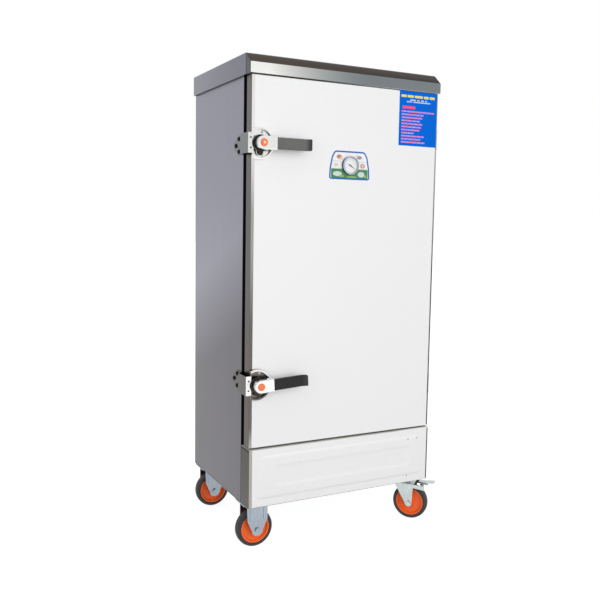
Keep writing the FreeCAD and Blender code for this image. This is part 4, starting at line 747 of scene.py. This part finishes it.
class STEAMER_OT_rear(bpy.types.Operator):
    """Make the folded terminal box, with its screws and those of the back panel"""

    bl_idname = "steamer.rear"
    bl_label = "Rear covers"

    box_inset, box_head = 12, 1.1
    back_inset, back_foot, back_top, back_rows, back_head = 22, 60, 80, 5, 2

    def execute(self, context):
        low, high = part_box("terminal_box")
        box = folded(box_corners((-high.x, low.z), (-low.x, high.z)), high.y, low.y, "back",
                     context.scene.steamer_sheet)
        new_piece("terminal_box_folded", [box], finishes("stainless"), "cabinet",
                  "terminal_box")
        inset = self.box_inset * MM
        spots = [(x, high.y, z, self.box_head) for x in (low.x + inset, high.x - inset)
                 for z in (low.z + inset, high.z - inset)]
        low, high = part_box("back_panel")
        inset = self.back_inset * MM
        rows = np.linspace(low.z + self.back_foot * MM, high.z - self.back_top * MM,
                           self.back_rows)
        spots += [(x, high.y, z, self.back_head) for x in (low.x + inset, high.x - inset)
                  for z in rows]
        radius = context.scene.steamer_screws.cover_radius
        heads = [cross_screw((x, y, z), "back", radius, head * MM) for x, y, z, head in spots]
        new_piece("rear_screws", heads, finishes("zinc_plate"), "cabinet", slot="zinc_plate")
        return {"FINISHED"}


class STEAMER_OT_screws(bpy.types.Operator):
    """Make the cross-headed screws of the latches and their keepers"""

    bl_idname = "steamer.screws"
    bl_label = "Latch screws"

    strap_spots = ((56, 0), (31, 20), (31, -20))
    strap_gauge, strap_head, strap_turn = 3, 5, 0.5
    hook_inset, hook_rise, hook_head = 9, 15.5, 1.5
    latch_ring, latch_angle = 37.6, math.radians(73)
    latch_sink, latch_head, latch_turn = 2.5, 2.2, 0.4

    def execute(self, context):
        screws = context.scene.steamer_screws
        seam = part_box("lower_panel")[1].y
        side, hook = KEEPER_BOX[0].x + self.hook_inset * MM, KEEPER_BOX[0].y
        face = -(HALF_WIDTH + self.strap_gauge * MM)
        heads = []
        for level in LATCH_LEVELS:
            for count, (along, rise) in enumerate(self.strap_spots):
                centre = (face, seam + along * MM, level + rise * MM)
                heads.append(cross_screw(centre, "left", screws.strap_radius,
                                         self.strap_head * MM, self.strap_turn * count))
            for way in (-1, 1):
                centre = (side, hook, level + way * self.hook_rise * MM)
                heads.append((*cross_screw(centre, "front", screws.hook_radius,
                                           self.hook_head * MM), 1))
        new_piece("keeper_screw_heads", heads, finishes("black_screw", "rivet"), "cabinet",
                  "keeper_screws")
        heads = []
        for level in LATCH_LEVELS:
            for way in (-1, 1):
                x = LATCH_X + self.latch_ring * MM * math.cos(self.latch_angle)
                z = level + way * self.latch_ring * MM * math.sin(self.latch_angle)
                heads.append(cross_screw((x, DOOR_FRONT - self.latch_sink * MM, z), "front",
                                         screws.latch_radius, self.latch_head * MM,
                                         self.latch_turn))
        new_piece("latch_screw_heads", heads, finishes("latch_steel"), "door", "latch_screws")
        return {"FINISHED"}


class STEAMER_OT_dial(bpy.types.Operator):
    """Make the thermometer's face with its scale and numbers"""

    bl_idname = "steamer.dial"
    bl_label = "Dial"

    start, sweep = math.radians(-120), math.radians(240)
    case_floor, card_height, card_round, card_radii = 3, 0.2, 0.05, (24, 25.4)
    mark_radius, mark_height, marks, marks_a_number = 20.6, 0.12, 24, 4
    # Length and half width of a mark
    long_mark, short_mark = (3.4, 0.5), (1.8, 0.25)
    number_radius, number_size, number_height, number_step = 14.6, 3.8, 0.08, 20

    def execute(self, context):
        floor = -DOOR_FRONT + self.case_floor * MM
        level = floor + self.card_height * MM
        inner, outer = (radius * MM for radius in self.card_radii)
        card = turned([(inner, level), (outer, level - self.card_round * MM), (outer, floor)],
                      (0, 0, DIAL_Z), "front", 64)
        new_piece("dial_card", [card], [ink("dial_white", "#FFFFFF")], "door")
        marks = []
        for count in range(self.marks + 1):
            numbered = count % self.marks_a_number == 0
            long, wide = self.long_mark if numbered else self.short_mark
            points, faces = plate(
                box_corners((-wide * MM, self.mark_radius * MM - long * MM),
                            (wide * MM, self.mark_radius * MM)),
                level + self.mark_height * MM, level, "front", 0.1 * MM, 0.05 * MM, 2)
            angle = self.start + self.sweep * count / self.marks
            marks.append((self.about(points, angle), faces))
        new_piece("dial_scale", marks, [ink("dial_grey", "#9CA0A8")], "door")
        self.numbers(level)
        return {"FINISHED"}

    def about(self, points, angle):
        """Points turned clockwise about the dial's axis, and raised to its middle."""
        x = points[:, 0] * math.cos(angle) + points[:, 2] * math.sin(angle)
        z = points[:, 2] * math.cos(angle) - points[:, 0] * math.sin(angle)
        return np.stack([x, points[:, 1], z + DIAL_Z], 1)

    def numbers(self, level):
        """Plain numbers round the scale, cut out of flat text."""
        parts, steps = [], self.marks // self.marks_a_number
        for count in range(steps + 1):
            text = bpy.data.curves.new("number", "FONT")
            text.body, text.size = str(count * self.number_step), self.number_size * MM
            text.extrude, text.resolution_u = self.number_height / 2 * MM, 3
            text.align_x, text.align_y = "CENTER", "CENTER"
            holder = bpy.data.objects.new("number", text)
            cut = bpy.data.meshes.new_from_object(holder)
            angle = self.start + self.sweep * count / steps
            x = self.number_radius * MM * math.sin(angle)
            z = self.number_radius * MM * math.cos(angle)
            cut.transform(Matrix.Translation((x, -level - self.number_height * MM, DIAL_Z + z))
                          @ Matrix.Rotation(math.pi / 2, 4, "X"))
            points = np.zeros(len(cut.vertices) * 3)
            cut.vertices.foreach_get("co", points)
            parts.append((points.reshape(-1, 3), [list(f.vertices) for f in cut.polygons]))
            bpy.data.objects.remove(holder)
            bpy.data.curves.remove(text)
            bpy.data.meshes.remove(cut)
        new_piece("dial_numbers", parts, [ink("dial_grey", "#9CA0A8")], "door")


class STEAMER_OT_sticker(bpy.types.Operator):
    """Make the printed sticker round the dial, with a plain pattern"""

    bl_idname = "steamer.sticker"
    bl_label = "Dial sticker"

    corners = ((-77, -46), (77, -46), (75.5, -12), (68, 27), (57, 46.5), (-57, 46.5), (-68, 27),
               (-75.5, -12))
    rounds = (8, 8, 60, 30, 14, 14, 30, 60)
    border = 5
    band = ((-70, -41), (70, -41), (69.5, -12), (-69.5, -12))
    band_rounds = (4, 4, 0.01, 0.01)
    # Left end and height of the two lines, and their width
    lines, line_tall = ((-64, 12), (-68, -11)), 0.9
    # Middle, half width, half height and ink of the ovals
    spots = (
        (-40, 27, 10, 7, 3), (-33, 22, 5, 5, 5), (36, 27, 10, 6, 4), (27, 32, 5, 4, 5),
        (-52, 1, 8, 6, 5), (49, 0, 9, 8, 6), (49, 0, 4, 4, 7), (-46, -28, 17, 8, 7),
        (-30, -35, 9, 4, 8), (44, -28, 13, 9, 7), (60, -34, 6, 4, 8), (8, -37, 20, 3, 8),
    )
    # Heights in thicknesses of the film, each layer over the one before
    field_top, band_top, line_top, spot_top, spot_step = 1.4, 1.6, 1.7, 1.8, 0.05

    def placed(self, points):
        """Points of the sticker in metres, round the dial's middle."""
        return [(x * MM, DIAL_Z + z * MM) for x, z in points]

    def oval(self, x, z, wide, tall, top, bottom):
        """A flat oval spot."""
        t = np.linspace(0, 2 * np.pi, 24, endpoint=False)
        ring = np.stack([x + wide * np.cos(t), z + tall * np.sin(t)], 1)
        ring = np.array(self.placed(ring))
        return skin(stack([(ring, top), (ring, bottom)], "front"))

    def execute(self, context):
        colours = context.scene.steamer_print
        front, film = -DOOR_FRONT, colours.thickness
        shape, rounds = self.placed(self.corners), np.array(self.rounds) * MM
        outer, inner = outline(shape, rounds), outline(shape, rounds, self.border * MM)
        parts = [skin(stack([(outer, front + film), (outer, front)], "front")),
                 (*skin(stack([(inner, front + film * self.field_top), (inner, front)],
                              "front")), 1)]
        parts.append((*plate(self.placed(self.band), front + film * self.band_top, front,
                             "front", np.array(self.band_rounds) * MM, 0.05 * MM), 2))
        for left, z in self.lines:
            strip = box_corners(*self.placed(((left, z), (-left, z + self.line_tall))))
            parts.append((*plate(strip, front + film * self.line_top, front, "front", 0.2 * MM,
                                 0.05 * MM, 2), 8))
        for count, (x, z, wide, tall, paint) in enumerate(self.spots):
            level = front + film * (self.spot_top + self.spot_step * count)
            parts.append((*self.oval(x, z, wide, tall, level, front), paint))
        inks = [ink("border_blue", colours.border), ink("field_white", "#F0F1F4"),
                ink("band_green", colours.band), ink("warm_brown", "#C98A66"),
                ink("soft_grey", "#A39A98"), ink("pale_sand", "#E2CFC0"),
                ink("soft_pink", "#D9938F"), ink("pale_grey", "#D3DCD8"),
                ink("leaf_green", "#8FBF5E")]
        new_piece("dial_sticker", parts, inks, "door")
        return {"FINISHED"}


class STEAMER_OT_label(bpy.types.Operator):
    """Make the printed label in the door's upper corner, with plain bars for its lines"""

    bl_idname = "steamer.label"
    bl_label = "Label"

    left, bottom, top, back, bar_top = 189.5, 1342.5, 1524.8, 0.8, 1.3
    # Distance down, height and ink of each row of bars, and their starts and ends
    rows = (
        (12.7, 8, 1, ((7, 28), (32, 57), (61, 95), (100, 119), (124, 145))),
        (26.5, 4.5, 2, ((43, 66), (72, 82), (88, 100), (105, 113))),
        (33, 4, 2, ((29, 51), (56, 78), (79, 127))),
        (49.5, 8.5, 5, ((13, 65),)),
    )
    # Ends of the lines below, which are cut into words of uneven length
    ends = (145, 101, 96, 87, 97, 93, 85, 62, 104, 91, 108)
    line_left, line_top, line_tall, pitch = 10, 65, 5, 10.25
    word, uneven, turn_step, gap = 8, 4, 2.4, 1

    def bars(self):
        """Start, end, distance down, height and ink of every bar."""
        for down, tall, paint, row in self.rows:
            yield from ((start, end, down, tall, paint) for start, end in row)
        for count, end in enumerate(self.ends):
            start, turn = self.line_left, count
            while start < end - 2 * self.gap:
                long = self.word + self.uneven * math.sin(self.turn_step * turn)
                stop = min(end, start + long)
                yield (start, stop - self.gap, self.line_top + self.pitch * count,
                       self.line_tall, 3 + turn % 2)
                start, turn = stop, turn + 1

    def execute(self, context):
        colours = context.scene.steamer_print
        front, film = -DOOR_FRONT, colours.thickness
        right = self.left + colours.card_width / MM
        card = box_corners((self.left * MM, self.bottom * MM), (right * MM, self.top * MM))
        parts = [plate(card, front + film, front - self.back * MM, "front", MM, 0.1 * MM)]
        for start, end, down, tall, paint in self.bars():
            strip = box_corners(((self.left + start) * MM, (self.top - down - tall) * MM),
                                ((self.left + end) * MM, (self.top - down) * MM))
            parts.append((*plate(strip, front + film * self.bar_top, front, "front", 0.4 * MM,
                                 0.05 * MM, 2), paint))
        inks = [ink("label_blue", colours.card), ink("heading_yellow", colours.heading),
                ink("line_white", "#BCD2EC"), ink("line_pink", "#F583A0"),
                ink("line_lilac", "#C3A2F6"), ink("line_red", "#F35E72")]
        new_piece("door_label", parts, inks, "door")
        return {"FINISHED"}


class STEAMER_OT_stage(bpy.types.Operator):
    """Set up the floor, the soft lamps, the surround and the camera"""

    bl_idname = "steamer.stage"
    bl_label = "Stage"

    eye = (-1.2747, -2.4082, 1.0830)
    heading, dip, roll = 0.4762, 0.0986, 0.0166
    shift, sensor = (-0.00433, -0.00867), 36
    # Place of each lamp and its share of the key light's power
    lamps = {"key": ((0.1, -3.6, 1.3), 1), "fill": ((-2.4, -2.8, 1.5), 0.25)}
    lamp_size, lamp_aim = 3.0, (0, 0, 0.8)
    floor_half, paper, paper_glow = 30, "#A8A8A8", 0.85

    def execute(self, context):
        scene, setup = context.scene, context.scene.steamer_stage
        self.camera(scene, setup)
        self.surround(scene, setup)
        self.floor(scene)
        for name, (place, share) in self.lamps.items():
            self.lamp(scene, name, place, setup.key * share)
        scene.view_settings.view_transform = "Standard"
        return {"FINISHED"}

    def camera(self, scene, setup):
        """The camera at the photograph's place, turned by its heading, dip and roll."""
        data = bpy.data.cameras.new("camera")
        data.lens, data.sensor_width = setup.lens, self.sensor
        data.shift_x, data.shift_y = self.shift
        az, dip = self.heading, self.dip
        ahead = Vector((math.sin(az) * math.cos(dip), math.cos(az) * math.cos(dip),
                        -math.sin(dip)))
        level = Vector((math.cos(az), -math.sin(az), 0))
        rise = level.cross(ahead)
        right = level * math.cos(self.roll) + rise * math.sin(self.roll)
        up = rise * math.cos(self.roll) - level * math.sin(self.roll)
        camera = bpy.data.objects.new("camera", data)
        camera.matrix_world = Matrix.Translation(self.eye) @ Matrix(
            (right, up, -ahead)).transposed().to_4x4()
        scene.collection.objects.link(camera)
        scene.camera = camera

    def seen(self, tree):
        """The kinds of ray, and one where the camera or a gloss sees the surface."""
        rays = add(tree, "ShaderNodeLightPath")
        either = add(tree, "ShaderNodeMath", {
            0: rays.outputs["Is Camera Ray"], 1: rays.outputs["Is Glossy Ray"]},
            operation="MAXIMUM")
        return rays, either.outputs[0]

    def surround(self, scene, setup):
        """A soft even surround that the camera, gloss and glass see as white."""
        world = bpy.data.worlds.new("surround")
        tree = empty_tree(world)
        rays, seen = self.seen(tree)
        seen = add(tree, "ShaderNodeMath", {
            0: seen, 1: rays.outputs["Is Transmission Ray"]}, operation="MAXIMUM")
        power = add(tree, "ShaderNodeMapRange", {
            "Value": seen.outputs[0], "To Min": setup.ambient, "To Max": 1.0})
        glow = add(tree, "ShaderNodeBackground", {
            "Color": (1, 1, 1, 1), "Strength": power.outputs["Result"]})
        add(tree, "ShaderNodeOutputWorld", {"Surface": glow.outputs["Background"]})
        scene.world = world

    def floor(self, scene):
        """A white floor that keeps a soft shadow."""
        half = self.floor_half
        mesh = bpy.data.meshes.new("floor")
        mesh.from_pydata([(x, y, 0) for x, y in box_corners((-half, -half), (half, half))], [],
                         [(0, 1, 2, 3)])
        floor = bpy.data.objects.new("floor", mesh)
        scene.collection.objects.link(floor)
        material = bpy.data.materials.new("studio_paper")
        tree = empty_tree(material)
        glow = add(tree, "ShaderNodeMath", {0: self.seen(tree)[1], 1: self.paper_glow},
                   operation="MULTIPLY")
        paper = add(tree, "ShaderNodeBsdfPrincipled", {
            "Base Color": linear(self.paper), "Roughness": 0.9,
            "Emission Color": (1, 1, 1, 1), "Emission Strength": glow.outputs[0]})
        add(tree, "ShaderNodeOutputMaterial", {"Surface": paper.outputs["BSDF"]})
        mesh.materials.append(material)
        floor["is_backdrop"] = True

    def lamp(self, scene, name, place, power):
        """A large square soft lamp that looks at the cabinet's middle."""
        data = bpy.data.lights.new(name, "AREA")
        data.size, data.energy = self.lamp_size, power
        lamp = bpy.data.objects.new(name, data)
        aim = Vector(self.lamp_aim) - Vector(place)
        lamp.matrix_world = Matrix.Translation(place) @ aim.to_track_quat(
            "-Z", "Y").to_matrix().to_4x4()
        lamp.visible_glossy = False
        scene.collection.objects.link(lamp)


OPERATORS = (
    STEAMER_OT_stage, STEAMER_OT_finishes, STEAMER_OT_lid, STEAMER_OT_sides, STEAMER_OT_door,
    STEAMER_OT_lower_panel, STEAMER_OT_rear, STEAMER_OT_screws, STEAMER_OT_dial,
    STEAMER_OT_sticker, STEAMER_OT_label,
)


class STEAMER_PT_panel(bpy.types.Panel):
    """Lists the steamer's pieces"""

    bl_label = "Rice steamer"
    bl_idname = "STEAMER_PT_panel"
    bl_space_type = "VIEW_3D"
    bl_region_type = "UI"
    bl_category = "Steamer"

    def draw(self, context):
        for operator in OPERATORS:
            self.layout.operator(operator.bl_idname)
        for group in GROUPS:
            box = self.layout.box()
            values = getattr(context.scene, group)
            for name in values.bl_rna.properties.keys():
                if name not in ("rna_type", "name"):
                    box.prop(values, name)


GROUPS = {
    "steamer_sheet": SteamerSheet, "steamer_print": SteamerPrint,
    "steamer_screws": SteamerScrews, "steamer_stage": SteamerStage,
}


def register():
    """Registers the property groups, the operators and the panel."""
    for name, group in GROUPS.items():
        bpy.utils.register_class(group)
        setattr(bpy.types.Scene, name, bpy.props.PointerProperty(type=group))
    for operator in OPERATORS:
        bpy.utils.register_class(operator)
    bpy.utils.register_class(STEAMER_PT_panel)


def unregister():
    """Takes them all away again."""
    bpy.utils.unregister_class(STEAMER_PT_panel)
    for operator in reversed(OPERATORS):
        bpy.utils.unregister_class(operator)
    for name, group in GROUPS.items():
        delattr(bpy.types.Scene, name)
        bpy.utils.unregister_class(group)


def main():
    """Makes every piece in order."""
    register()
    for operator in OPERATORS:
        group, name = operator.bl_idname.split(".")
        getattr(getattr(bpy.ops, group), name)()
    sizes = {"cad": CAD_BOX, "visual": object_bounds()}
    {name: [list(corner) for corner in box] for name, box in sizes.items()}


if __name__ == "__main__":
    main()
